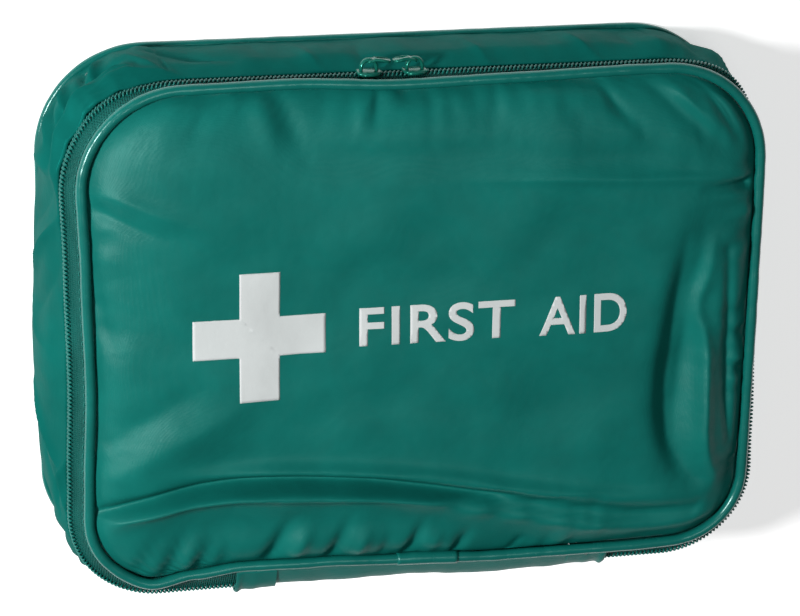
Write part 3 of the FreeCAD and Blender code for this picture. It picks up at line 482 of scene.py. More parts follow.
# creases of the side cloth: half width, [(place, height, outwards mm), ...]
GUSSET_FOLDS = [
    # the top left corner, where the cloth is crushed: a full collar beside the zip, a deep
    # valley behind it, and short creases that fan out of it
    (3.0, [(4.98, 33, 0.4), (5.12, 30.5, 2.2), (5.28, 29, 3.6), (5.45, 28.5, 4.2), (5.62, 29.5, 4.0),
           (5.80, 31, 3.0), (5.97, 33, 1.2), (6.10, 34, 0.2)]),
    (2.3, [(5.20, 21, -0.6), (5.33, 20.5, -3.2), (5.47, 21.5, -4.6), (5.62, 23.5, -4.6),
           (5.76, 26.5, -3.4), (5.88, 29, -1.2)]),
    (1.6, [(5.28, 8, 0.6), (5.33, 13, 3.0), (5.37, 18, 3.4), (5.40, 23, 1.6)]),
    (1.3, [(5.40, 9, -0.8), (5.43, 14, -3.0), (5.45, 18, -2.0)]),
    (1.2, [(5.52, 10, 0.6), (5.56, 15, 3.0), (5.60, 21, 2.2), (5.64, 26, 0.4)]),
    (1.4, [(5.62, 8, -0.6), (5.66, 13, -2.6), (5.72, 21, -2.4), (5.78, 25, -0.6)]),
    (1.2, [(5.70, 10, 0.6), (5.74, 15, 2.2), (5.80, 22, 1.0)]),
    (0.9, [(5.16, 27, 0.4), (5.28, 26, 1.8), (5.40, 25.5, 0.5)]),
    (0.9, [(5.20, 32, 0.4), (5.32, 30.5, 1.5), (5.46, 31.5, 0.5)]),
    (0.8, [(5.24, 29, -0.3), (5.34, 28, -1.6), (5.46, 28.5, -0.5)]),
    (0.9, [(5.30, 34, 0.5), (5.42, 33, 1.4), (5.54, 33.5, 0.5)]),
    (1.8, [(5.16, 17, 0.7), (5.10, 24, 1.6), (5.02, 31, 0.6)]),
    (4.0, [(5.02, 14, -1.6), (4.93, 22, -2.2), (4.86, 26, -0.8)]),
    (2.6, [(5.86, 6, 0.6), (5.90, 16, 1.4), (5.95, 26, 0.4)]),
    # the left side
    (1.5, [(6.10, 33, 0.8), (6.17, 26, 2.4), (6.26, 17, 2.6), (6.33, 9, 0.8)]),
    (3.4, [(6.02, 30, -0.8), (6.10, 22, -2.0), (6.16, 12, -1.2)]),
    (3.0, [(6.24, 33, -0.6), (6.34, 26, -1.6), (6.42, 16, -0.8)]),
    (2.0, [(6.45, 8, 0.4), (6.50, 15, 1.4), (6.52, 25, 0.3)]),
    (1.4, [(6.68, 9, 0.6), (6.76, 18, 2.0), (6.86, 28, 1.4), (6.92, 33, 0.3)]),
    (2.6, [(6.76, 9, -0.6), (6.86, 18, -1.6), (6.96, 27, -1.0)]),
    (1.2, [(6.86, 34, 0.6), (6.92, 31, 2.2), (7.00, 33.5, 0.8)]),
    (1.6, [(6.90, 28, -0.8), (6.98, 27, -1.8), (7.08, 30, -0.5)]),
    # the other corners
    (2.6, [(7.22, 33, 0.2), (7.26, 22, -1.5), (7.30, 10, -0.8), (7.3, 4, 0.0)]),
    (2.0, [(7.50, 33, 0.2), (7.55, 22, 1.6), (7.55, 10, 0.9), (7.5, 4, 0.0)]),
    (2.4, [(7.78, 33, 0.2), (7.76, 22, -1.4), (7.74, 10, -0.6), (7.7, 4, 0.0)]),
    (2.2, [(3.26, 33, 0.3), (3.34, 22, -1.6), (3.36, 10, -0.7), (3.4, 4, 0.0)]),
    (1.8, [(3.48, 33, 0.3), (3.56, 22, 1.6), (3.56, 10, 0.6), (3.5, 4, 0.0)]),
    (2.2, [(3.74, 33, 0.3), (3.72, 22, -1.4), (3.70, 10, -0.6), (3.7, 4, 0.0)]),
    (2.6, [(1.30, 33, 0.2), (1.34, 22, -1.4), (1.36, 10, -0.7), (1.4, 4, 0.0)]),
    (2.0, [(1.56, 33, 0.2), (1.56, 22, 1.5), (1.60, 10, 0.6), (1.6, 4, 0.0)]),
    # puckers of the top side
    (3.5, [(4.02, 33, 0.3), (4.06, 22, -1.2), (4.05, 10, -0.5), (4.0, 4, 0.0)]),
    (2.0, [(4.13, 34, 0.4), (4.16, 25, 1.1), (4.17, 12, 0.4), (4.16, 4, 0.0)]),
    (2.0, [(4.36, 34, 0.4), (4.37, 26, 1.0), (4.38, 14, 0.3), (4.38, 5, 0.0)]),
    (2.8, [(4.60, 34, -0.3), (4.61, 26, -1.0), (4.60, 14, -0.4), (4.60, 5, 0.0)]),
    (2.0, [(4.70, 34, 0.3), (4.71, 27, 1.0), (4.72, 16, 0.3), (4.72, 6, 0.0)]),
]
SHARP = 1.3                  # how pointed a fold's crest is: 2 is round


def rounded_line(line):
    """A fold's line with its corners cut twice, its ends kept."""
    points = np.array(line, float)
    for _ in range(2):
        near, far = points[:-1], points[1:]
        cut = np.stack([0.75 * near + 0.25 * far, 0.25 * near + 0.75 * far], 1).reshape(-1, 3)
        points = np.concatenate([points[:1], cut, points[-1:]])
    return points


def fold_lift(flat, folds, crest):
    """Height of a list of folds (ridges and valleys) at flat (n, 2) points."""
    total = np.zeros(len(flat))
    for width, line in folds:
        best, lift = np.full(len(flat), np.inf), np.zeros(len(flat))
        line = rounded_line(line)
        for start, end in zip(line, line[1:]):
            a, b = start[:2], end[:2]
            part = np.clip((flat - a) @ (b - a) / ((b - a) @ (b - a)), 0, 1)
            away = np.linalg.norm(flat - a - part[:, None] * (b - a), axis=1)
            closer = away < best
            best = np.where(closer, away, best)
            lift = np.where(closer, start[2] + part * (end[2] - start[2]), lift)
        total += lift * np.exp(-(best / width) ** crest)
    return total


ALONG = np.concatenate([[0], np.cumsum([length for _, length in BELLY.stretches])])


def along_belly(places):
    """Distance walked along the belly, in mm."""
    return np.interp(places, np.arange(STRETCHES + 1), ALONG)


def between_seams(heights, rise):
    """0 at the cloth's two seams and 1 midway, as a column."""
    return np.sin(np.pi * np.clip((heights - SWELL_FOOT) / rise, 0, 1))[:, None] ** 0.7


def gusset_cloth(places, heights):
    """The side cloth with its creases and crumples, as a grid."""
    grid = sweep([(0, height) for height in heights], places)
    _, outward = BELLY.at(places)
    walked = along_belly(places)
    flat = np.array([(s, height) for height in heights for s in walked])
    folds = [(width, [(float(along_belly(place)), height, lift) for place, height, lift in line])
             for width, line in GUSSET_FOLDS]
    lift = fold_lift(flat, folds, SHARP).reshape(grid.shape[:2])
    middle = between_seams(heights, 33)
    corner = np.interp(places % 1, [0, 0.5, 1], [0.4, 1, 0.4]) * np.isin(places // 1, (1, 3, 5, 7))
    busy = 0.55 + 1.1 * corner + 0.5 * (places // 1 == 5)
    lift += ripple(grid, (17, 17, 26), 1) * 0.9 * middle * busy
    lift += ripple(grid, (6, 6, 15), 2) * 0.42 * middle * busy
    lift -= 0.35 * np.abs(ripple(grid, (9, 9, 30), 3)) * busy
    grid[..., :2] += lift[..., None] * outward[None]
    return grid


def build_gusset():
    heights = np.linspace(GUSSET_FOOT, GUSSET_EDGE, GUSSET_ROWS)
    places = around(GUSSET_STEP, 0, ZIP_END)
    grid = gusset_cloth(places, heights)
    # the top edge is turned in over the zip's rear tape
    lip = np.array(grid[-1:])
    _, outward = BELLY.at(places)
    lip[..., :2] -= LIP_DEPTH * outward[None]
    lip[..., 2] -= LIP_DROP
    grid[-1, :, :2] -= EDGE_TURN * outward
    shape = Shape().grid(np.concatenate([grid, lip]))
    # the side cloth's darker colour is painted shade
    add_piece("side_gusset", shape, SHADED_SIDE_NYLON, CASE, ["wall_gusset"], thick=CLOTH)


build_gusset()


# ---------------------------------------------------------------- hinge strip along the bottom
def across_hinge(piece):
    """Bakes a piece's placing into its mesh; the piece is not bent round the hinge line."""
    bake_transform(piece)


def build_hinge_strip():
    """One strip of cloth from the back piping to the front piping, between the zip's two ends."""
    places = around(1.4, ZIP_END, STRETCHES)
    top = FRONT_PLANE - 0.4
    heights = np.linspace(GUSSET_FOOT, top, 52)
    grid = sweep([(0.25, height) for height in heights], places)
    middle = between_seams(heights, 42)
    lift = ripple(grid, (22, 22, 16), 4) * 0.9 * middle + ripple(grid, (7, 7, 12), 5) * 0.35 * middle
    ends = np.minimum(places - ZIP_END, STRETCHES - places) * (HINGE_RIGHT - HINGE_LEFT)
    lift += 0.5 * np.exp(-(ends / 2.0) ** 2)
    bulge = eased(grid[0, :, 0], [(HINGE_LEFT, 1.0), (-5, 1.2), (33, 3.2), (48, 2.6),
                                  (HINGE_RIGHT, 1.6)])
    lift += bulge * eased(heights, [(6, 0.3), (26, 1), (39, 1), (top, 0)])[:, None]
    grid[..., 1] -= lift
    piece = add_piece("hinge_strip", Shape().grid(grid), NYLON, None, thick=CLOTH)
    across_hinge(piece)
    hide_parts("hinge_gusset", "cover_hinge_band")


build_hinge_strip()


# ---------------------------------------------------------------- zip
COIL_PITCH, COIL_WIRE, COIL_STEPS = 1.4, 0.34, 10      # steps to a turn
COIL_REACH, COIL_OUT, COIL_DEPTH = 1.0, 0.25, 0.55
COIL_HEIGHTS = {"rear": ZIP_PLANE - 0.62, "front": ZIP_PLANE + 0.62}


def zip_places(count):
    """Evenly spaced places along the zip, and the distance walked."""
    fine = around(0.5, 0, ZIP_END)
    points, _ = ZIP.at(fine)
    steps = np.linalg.norm(np.diff(points, axis=0), axis=1)
    walked = np.concatenate([[0], np.cumsum(steps)])
    even = np.linspace(0, walked[-1], count)
    return np.interp(even, walked, fine), even


def build_coil(name, level, phase, body, node):
    length = sum(length for _, length in ZIP.stretches[:ZIP_END])
    places, walked = zip_places(int(length / COIL_PITCH * COIL_STEPS))
    turn = 2 * math.pi * walked / COIL_PITCH + phase
    points, outward = ZIP.at(places)
    across = COIL_HEIGHTS[level] + COIL_REACH * np.sin(turn)
    points = points + (COIL_OUT + COIL_DEPTH * np.cos(turn))[:, None] * outward
    path = stray(np.column_stack([points, across]))
    shape = Shape().grid(tube(path, COIL_WIRE, 6), wrap_rows=True, caps=True)
    add_piece(name, shape, COIL, body, [node])


def build_tapes():
    places = around(1.5, 0, ZIP_END)
    rear = [(0.35, 37.3), (0.5, 36.5), (-0.2, 35.4), (-2.1, 33.5), (-2.4, 29.1), (-3.0, 29.2),
            (-2.7, 33.6), (-0.9, 36.2)]
    front = [(0.35, 37.7), (0.5, 38.5), (0.1, 40.0), (-0.1, 41.8), (-1.1, 43.6), (-2.2, 44.8),
             (-2.8, 44.6), (-1.8, 43.2), (-0.8, 41.6), (-0.6, 40.0), (-0.75, 38.4)]
    for name, profile, body, node in (("zip_tape_rear", rear, CASE, "rear_zip_tape"),
                                      ("zip_tape_front", front, COVER, "front_zip_tape")):
        shape = Shape().grid(sweep(profile, places), wrap_rows=True, caps=True)
        add_piece(name, shape, TAPE, body, [node], divide=1)


TAB_TOP, TAB_RAISE = 43.4, 0.5


def build_end_tabs():
    """Short cloth tabs wrapped over the two ends of the zip, with a raised fold where they end."""
    for side, way in (("left", -1), ("right", 1)):
        node = f"{side}_zip_end_tab"
        low, high = span(node)
        heights = np.linspace(low[2] - 0.5, TAB_TOP, 16)
        xs = np.linspace(low[0], high[0], 30)
        grid = np.zeros((len(heights), len(xs), 3))
        outer = low[0] if way < 0 else high[0]
        raised = 1.1 * np.exp(-((xs - outer) * way + 0.9) ** 2 / 1.1)
        raised += 0.35 * np.exp(-((xs - outer) * way + 6.5) ** 2 / 5.0)
        for row, height in enumerate(heights):
            edge = math.sin(math.pi * row / (len(heights) - 1)) ** 0.35
            bulge = eased(np.array([height]), [(30, 1.0), (40, 2.1), (TAB_TOP, 0.8)])[0]
            out = wall(np.array([ZIP_END + 0.5]), height)[0][0, 1] - bulge - edge * (TAB_RAISE + raised)
            grid[row] = np.column_stack([xs, out, np.full(len(xs), height)])
        grid = stray(grid)
        grid[..., 1] += 0.12 * ripple(grid, 4, 17)
        piece = add_piece(f"zip_end_{side}", Shape().grid(grid), NYLON, None,
                          thick=CLOTH, divide=1)
        across_hinge(piece)
        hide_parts(node)


build_tapes()
build_coil("zip_coil_rear", "rear", 0.0, CASE, "rear_zip_coil")
build_coil("zip_coil_front", "front", math.pi, COVER, "front_zip_coil")
build_end_tabs()


# ---------------------------------------------------------------- piping
def cord_path(outline, places, height):
    points, _ = outline.at(places)
    return np.column_stack([points, np.full(len(points), float(height))])


PIPING_STEP, PIPING_WANDER = 1.1, 0.35
SLEEVE_WALL = 0.42


def build_piping():
    places = around(PIPING_STEP)
    path = stray(cord_path(FRONT_CORD, places, FRONT_PLANE))
    path[:, 2] += PIPING_WANDER * ripple(path, 30, 6)
    girth = PIPING / 2 * (1 + 0.035 * ripple(path, 5, 7) + 0.02 * ripple(path, 2.4, 8))
    grid = tube(path, girth, 16, closed=True)
    add_piece("cover_piping", Shape().grid(grid, wrap_rows=True, wrap_columns=True), CORD,
              COVER, ["front_piping"])
    join_low, join_high = span("piping_join")
    sleeve = [p for p in path if join_low[0] < p[0] < join_high[0] and p[1] < 0]
    sleeve = np.array(sorted(sleeve, key=lambda p: p[0]))
    girth = PIPING / 2 + SLEEVE_WALL + 0.05 * ripple(sleeve, 3, 9)
    add_piece("piping_sleeve", Shape().grid(tube(sleeve, girth, 16), wrap_rows=True, caps=True),
              CORD, COVER, ["piping_join"])
    back = cord_path(BACK_CORD, places, BACK_PIPING / 2)
    girth = BACK_PIPING / 2 * (1 + 0.03 * ripple(back, 5, 10))
    grid = tube(back, girth, 14, closed=True)
    grid[..., 2] = np.maximum(grid[..., 2], 0.0)
    add_piece("base_piping", Shape().grid(grid, wrap_rows=True, wrap_columns=True), CORD,
              CASE, ["back_piping"])


build_piping()

# ---------------------------------------------------------------- front panel
SEAM_DROP, SEAM_RISE, SEAM_RUN = 2.0, 4.4, 3.2
PANEL_RISE, PANEL_RUN, PANEL_CURVE = 6.0, 30.0, 2.2
PANEL_TOP = 57.5
UNDER_PIPING = 0.6           # how far a panel's edge goes in under its piping
FOLD_GAIN, FOLD_CREST = 1.4, 1.7
# folds of the front panel: half width, [(x, y, height mm), ...]
PANEL_FOLDS = [
    # the edge of the packs inside: ridge, valley and second ridge across the lower part
    (2.8, [(-92, -43, 0.0), (-65, -43.5, 1.6), (-48, -43.0, 2.4), (-7, -47.5, 2.6), (19, -52.5, 2.6),
           (55, -60, 2.2), (82, -64.5, 2.0), (101, -64, 0.8)]),
    (2.3, [(-110, -57, -2.2), (-91, -51.5, -4.2), (-65, -48, -5.4), (-36, -48.5, -5.4),
           (-7, -52.5, -4.8), (19, -57.5, -4.4), (46, -64.0, -3.8), (72, -69.0, -3.4), (97, -69, -1.2)]),
    (1.8, [(-109, -61, 1.2), (-99, -57.0, 2.4), (-74, -52.5, 3.0), (-48, -52.5, 3.0), (-7, -56.5, 2.8),
           (19, -61.5, 2.6), (46, -69, 2.4), (69, -73.5, 2.2), (92, -74.5, 2.0), (105, -72, 0.8)]),
    # below it the panel falls away to the seam
    (7.5, [(-104, -66, -0.6), (-70, -63, -2.0), (-30, -64, -2.2), (0, -67, -2.0), (40, -77, -1.2)]),
    # the right side sinks beside the packs and stands up again at the piping
    (7.0, [(94, 42, 0.0), (95, 27, -1.8), (93, 12, -3.4), (90, -15, -4.4), (88, -38, -4.4),
           (92, -54, -2.8), (101, -61, -0.8)]),
    (3.4, [(89, 34, 0.0), (88, 20, -1.2), (86, 0, -1.8), (83, -24, -2.0), (85, -42, -1.6),
           (90, -52, -0.4)]),
    (3.0, [(99, 32, 0.0), (97, 16, 1.6), (93, 4, 1.8), (98, -8, 2.2), (98, -28, 2.8),
           (98, -46, 2.4), (104, -58, 0.8)]),
    (2.0, [(104, 24, -0.6), (106, -5, -1.6), (106, -30, -1.6), (108, -45, -0.6)]),
    # a light crease straight across to the right edge, and hollows above it
    (2.0, [(8, 56, 0.0), (35, 54, 0.7), (62, 52, 1.0), (88, 50.5, 1.0), (108, 49, 0.8)]),
    (3.4, [(-38, 64, -0.6), (-5, 63, -1.2), (30, 61, -1.2), (62, 58.5, -1.4), (88, 56, -0.6)]),
    (1.8, [(92, 46, 0.0), (100, 45.5, -1.0), (110, 46, -1.4)]),
    # folds that fan out of the top right corner
    (2.8, [(74, 82, -0.4), (86, 72, -1.4), (101, 62, -1.2), (109, 54, 0.0)]),
    (2.0, [(84, 80, 0.6), (93, 71, 1.2), (104, 62, 0.6)]),
    (1.8, [(95, 78, -0.8), (101, 70, -1.4), (107, 62, -0.6)]),
    (1.8, [(58, 84, 0.0), (62, 76, -1.2), (74, 66, -0.8), (80, 62, 0.0)]),
    (2.2, [(60, 70, 0.6), (72, 66, 1.1), (90, 64, 0.5)]),
    # puckers along the top seam
    (2.6, [(-50, 84, -1.4), (-46, 76, -1.6), (-41, 66, -0.6), (-38, 60, 0.0)]),
    (2.6, [(-57, 84, 0.6), (-53, 74, 1.0), (-50, 62, 0.0)]),
    (1.6, [(-16, 84, -1.4), (-17, 77, -1.0), (-19, 72, 0.0)]),
    (2.0, [(-22, 84, 0.6), (-22, 76, 0.8), (-23, 70, 0.0)]),
    (3.4, [(-72, 82, -0.6), (-76, 74, -0.9), (-84, 66, 0.0)]),
    (1.6, [(24, 84, -0.7), (22, 77, -0.7), (18, 72, 0.0)]),
    # the left side
    (3.4, [(-110, 57, 1.0), (-97, 51, 1.5), (-80, 44, 0.4), (-68, 40, 0.0)]),
    (2.8, [(-110, 50, -0.6), (-98, 44, -1.1), (-84, 38, 0.0)]),
    (4.0, [(-109, 20, -1.0), (-106, 10, -1.5), (-103, 0, -0.5)]),
    (6.5, [(-103, -43, 0.8), (-84, -31, 1.6), (-62, -20, 0.8), (-45, -12, 0.0)]),
    (5.0, [(-104, -30, -0.5), (-88, -20, -1.0), (-70, -10, 0.0)]),
    # puckers along the bottom seam: sharp notches with fuller cloth beside them
    (1.7, [(-97, -85, -2.4), (-95, -77, -2.2), (-90, -67, -0.4), (-86, -61, 0.0)]),
    (1.5, [(-86, -85, -2.6), (-85, -77, -2.4), (-80, -67, -0.4), (-76, -61, 0.0)]),
    (1.6, [(-76, -84, -2.2), (-74, -76, -1.8), (-69, -67, 0.0)]),
    (2.2, [(-81, -84, 1.4), (-79, -76, 1.5), (-74, -67, 0.2)]),
    (1.4, [(-67, -81, -1.2), (-66, -76, -1.2), (-64, -70, 0.0)]),
    (2.2, [(-51, -81, -3.2), (-49, -75, -3.2), (-45, -66, -1.2), (-42, -60, 0.0)]),
    (2.2, [(-43, -81, 1.6), (-41, -73, 1.8), (-37, -65, 0.2)]),
    (1.9, [(-30, -82, -2.8), (-28, -75, -2.6), (-25, -67, -0.8), (-23, -62, 0.0)]),
    (2.0, [(-22, -82, 1.3), (-20, -74, 1.4), (-17, -67, 0.0)]),
    (1.4, [(-13, -82, -1.4), (-12, -77, -1.2), (-10, -71, 0.0)]),
    (1.9, [(-4, -83, -2.8), (-2, -76, -2.8), (1, -69, -0.8), (3, -64, 0.0)]),
    (2.0, [(4, -83, 1.2), (6, -75, 1.3), (8, -69, 0.0)]),
    (1.7, [(13, -83, -2.2), (15, -77, -2.2), (18, -71, 0.0)]),
    (1.5, [(33, -84, -1.4), (35, -79, -1.3), (37, -75, 0.0)]),
]


def chord_grid(outline, across, down):
    """A grid of (x, y) over an outline: each row spans it from side to side."""
    bend = 10
    angles = np.linspace(0, np.pi / 2, bend, endpoint=False)
    low = outline.bottom + outline.radius_bottom * (1 - np.cos(angles))
    high = outline.top - outline.radius_top * (1 - np.cos(angles))
    middle = np.linspace(outline.bottom + outline.radius_bottom, outline.top - outline.radius_top,
                         down)
    rows = np.concatenate([low, middle, high[::-1]])
    grid = np.zeros((len(rows), across, 2))
    for index, y in enumerate(rows):
        lower = max(0.0, outline.bottom + outline.radius_bottom - y) / outline.radius_bottom
        upper = max(0.0, y - outline.top + outline.radius_top) / outline.radius_top
        cut = outline.radius_bottom * (1 - math.sqrt(max(0.0, 1 - lower ** 2)))
        cut += outline.radius_top * (1 - math.sqrt(max(0.0, 1 - upper ** 2)))
        part = np.linspace(0, 1, across)
        part = part - 0.35 * np.sin(2 * np.pi * part) / (2 * np.pi)     # closer at the sides
        grid[index, :, 0] = outline.left + cut + part * (outline.right - outline.left - 2 * cut)
        grid[index, :, 1] = y
    return grid


def panel_height(x, y):
    """The crowned panel without its folds: steep out of the seam, then nearly flat."""
    inside = np.clip(FRONT.inset_of(x, y) - PIPING + UNDER_PIPING, 0, PANEL_RUN)
    crown = PANEL_RISE * (1 - (1 - inside / PANEL_RUN) ** PANEL_CURVE)
    return FRONT_PLANE - SEAM_DROP + SEAM_RISE * (1 - np.exp(-inside / SEAM_RUN)) + crown


def build_panel():
    edge = outline_of("front_piping", FRONT_RADII, PIPING - UNDER_PIPING)
    flat = chord_grid(edge, 190, 118)
    x, y = flat[..., 0], flat[..., 1]
    points = np.dstack([x, y, panel_height(x, y)])
    inside = np.clip(edge.inset_of(x, y) / 4.0, 0, 1)
    folds = FOLD_GAIN * fold_lift(flat.reshape(-1, 2), PANEL_FOLDS, FOLD_CREST).reshape(x.shape)
    ground = np.dstack([x, y, np.zeros_like(x)])
    soft = 1.3 * ripple(ground, (40, 30, 30), 11) + 0.3 * ripple(ground, (16, 13, 10), 12)
    # small puckers run inwards from the seam
    depth = np.clip(edge.inset_of(x, y), 0, None)
    sideways = np.minimum(x - edge.left, edge.right - x) < np.minimum(y - edge.bottom, edge.top - y)
    pucker = np.where(sideways, ripple(ground, (12, 5, 9), 13), ripple(ground, (5, 12, 9), 14))
    patchy = np.clip(0.5 + ripple(ground, 26, 18), 0.1, 1.3)
    patchy = patchy * eased(x, [(-112, 0.3), (-60, 1), (110, 1.2)])
    pucker = pucker * patchy * (1.8 * np.exp(-depth / 4.5) + 0.3 * np.exp(-depth / 16.0))
    points[..., 2] += (folds + soft + pucker) * inside ** 0.6
    points[..., 2] = np.minimum(points[..., 2], PANEL_TOP)
    shape = Shape().grid(stray(points))
    return add_piece("cover_panel", shape, NYLON, COVER, ["front_panel"],
                     thick=PANEL_CLOTH, divide=1)


PANEL = build_panel()


# ---------------------------------------------------------------- print on the panel
FILM, CUT_STEP = 0.06, 1.0
CROSS_ARM = 13.4


def cut_fine(work):
    """Cuts a flat mesh along a fine square grid, so that it can lie on a curved panel."""
    for axis in (0, 1):
        places = [v.co[axis] for v in work.verts]
        place = min(places) + CUT_STEP
        while place < max(places):
            normal = Vector((1 - axis, axis, 0))
            everything = list(work.verts) + list(work.edges) + list(work.faces)
            bmesh.ops.bisect_plane(work, geom=everything, plane_co=normal * place, plane_no=normal)
            place += CUT_STEP


def lay_print(name, work, node):
    """Lays a flat mesh, in mm, on the front panel as a film of ink."""
    work.normal_update()
    bmesh.ops.triangulate(work, faces=work.faces)
    cut_fine(work)
    tree = BVHTree.FromObject(PANEL, bpy.context.evaluated_depsgraph_get())
    for vertex in work.verts:
        start = Vector((vertex.co.x, vertex.co.y, 100)) * MM
        hit = tree.ray_cast(start, Vector((0, 0, -1)))[0]
        vertex.co.z = hit.z / MM + FILM
    work.verts.index_update()
    shape = Shape().add([v.co[:] for v in work.verts],
                        [tuple(v.index for v in f.verts) for f in work.faces])
    work.free()
    add_piece(name, shape, PRINT, COVER, [node], thick=FILM)


def build_cross():
    low, high = span("cross_print")
    centre, reach = (low + high) / 2, (high[0] - low[0]) / 2
    arm = CROSS_ARM / 2
    corners = []
    for quarter in range(4):
        angle = math.pi / 2 * quarter
        for x, y in ((reach, -arm), (reach, arm), (arm, arm)):
            corners.append((centre[0] + x * math.cos(angle) - y * math.sin(angle),
                            centre[1] + x * math.sin(angle) + y * math.cos(angle), 0))
    work = bmesh.new()
    work.faces.new([work.verts.new(c) for c in corners])
    lay_print("cross_ink", work, "cross_print")


WORDS = (("FIRST", 0.0, 0.577), ("AID", 0.669, 1.0))        # each word's part of the line


def build_words():
    """The generic words in plain block letters, each fitted to its place in the CAD print."""
    low, high = span("lettering_print")
    work = bmesh.new()
    for word, start, end in WORDS:
        curve = bpy.data.curves.new(word, "FONT")
        curve.body, curve.offset, curve.size, curve.space_character = word, 0.018, 1.0, 1.1
        letters = bpy.data.objects.new(word, curve)
        mesh = bpy.data.meshes.new_from_object(letters)
        points = np.array([v.co[:] for v in mesh.vertices])
        first, last = points.min(0), points.max(0)
        wide = (high[0] - low[0]) * (end - start)
        scale = (wide / (last[0] - first[0]), (high[1] - low[1]) / (last[1] - first[1]))
        left = low[0] + start * (high[0] - low[0])
        for vertex in mesh.vertices:
            vertex.co = (left + (vertex.co.x - first[0]) * scale[0],
                         low[1] + (vertex.co.y - first[1]) * scale[1], 0)
        work.from_mesh(mesh)
        bpy.data.meshes.remove(mesh)
        bpy.data.objects.remove(letters)
        bpy.data.curves.remove(curve)
    lay_print("words_ink", work, "lettering_print")


build_cross()
build_words()


# ---------------------------------------------------------------- back panel and inside seams
def build_back():
    edge = outline_of("back_piping", BACK_RADII, BACK_PIPING - UNDER_PIPING)
    flat = chord_grid(edge, 120, 76)
    x, y = flat[..., 0], flat[..., 1]
    ground = np.dstack([x, y, np.zeros_like(x)])
    inside = np.clip(edge.inset_of(x, y) / 8.0, 0, 1)
    under = 0.9 - inside * 0.75 + 0.25 * inside * (1 + ripple(ground, 24, 14)) / 2
    top = np.maximum(under, 0.05) + PANEL_CLOTH
    shape = Shape().grid(np.dstack([x, y, top]))
    add_piece("base_panel", shape, NYLON, CASE, ["back_panel"], thick=PANEL_CLOTH)


BINDING_WIDTH = 1.5
BINDING_DROP = 2.8           # the front one is folded down, clear of the panel's seam groove


def build_bindings():
    """Folded tapes over the raw seams, inside the pouch."""
    half = BINDING_WIDTH / 2
    for name, node, last, body in (("binding_back", "back_seam_binding", STRETCHES, CASE),
                                   ("binding_rear", "rear_seam_binding", ZIP_END, CASE),
                                   ("binding_front", "front_seam_binding", STRETCHES, COVER)):
        low, high = span(node)
        if body == COVER:
            high[2] -= BINDING_DROP
        whole = last == STRETCHES
        outline, inset = outline_of(node, FRONT_RADII, half), 0.0
        if not whole:            # it stops at the hinge strip and follows the gusset
            outline, inset = BELLY, BELLY.left - (low[0] + half)
        centre = (low[2] + high[2]) / 2
        places = around(2.0, 0, last)
        points, outward = outline.at(places)
        rows = [np.column_stack([points + (across + inset) * outward,
                                 np.full(len(points), centre + up)])
                for across, up in rounded(BINDING_WIDTH, high[2] - low[2], 0.7, 3)]
        grid = np.array(rows)
        grid[..., :2] += 0.25 * ripple(grid, 9, 15)[..., None] * outward[None]
        shape = Shape().grid(grid, wrap_rows=True, wrap_columns=whole, caps=not whole)
        add_piece(name, shape, BINDING, body, [node])


build_back()
build_bindings()


# ---------------------------------------------------------------- stitches
STITCH_LENGTH, STITCH_GIRTH, STITCH_PITCH = 2.0, 0.15, 3.0
STITCH_HEIGHT, STITCH_INSET = 42.4, 0.25
# a stitch's path: (along, as a part of its length, and outwards, mm)
STITCH = ((-0.5, -0.3), (-0.25, 0.05), (0, 0.12), (0.25, 0.05), (0.5, -0.3))


def build_stitches():
    """Short raised stitches along the cover's side, over the zip tape."""
    places = around(STITCH_PITCH, 0, ZIP_END)
    points, outward = wall(places, STITCH_HEIGHT)
    points = points - STITCH_INSET * outward
    grid = stray(np.column_stack([points, np.full(len(points), STITCH_HEIGHT)]))
    ahead = np.column_stack([-outward[:, 1], outward[:, 0], np.zeros(len(places))])
    out = np.column_stack([outward, np.zeros(len(places))])
    shape = Shape()
    for at, way, face in zip(grid, ahead, out):
        path = [at + way * STITCH_LENGTH * along + face * lift for along, lift in STITCH]
        shape.grid(tube(path, STITCH_GIRTH, 5, up=face), wrap_rows=True, caps=True)
    add_piece("cover_stitches", shape, THREAD, COVER)


build_stitches()


# ---------------------------------------------------------------- sliders and pulls
# the slider moves in with the zip; the pull stays near its CAD hinge, so the crown is taller
SLIDER_TUCK, PULL_TUCK = 2.3, 0.8
FLANGE, FLANGE_DEPTH, FLANGE_BULGE = 0.55, 3.9, 0.05
CROWN_REACH, CROWN_RISE, CROWN_FOOT, CROWN_GIRTH = 2.6, 3.7, 3.1, 0.62
PULL_ARCH, PULL_THICK, RIM = 0.9, 0.9, 0.28


def tucked(node, tuck):
    """A slider part's box, moved in towards the pouch."""
    low, high = span(node)
    shift = np.array([0, tuck, 0])
    return low - shift, high - shift


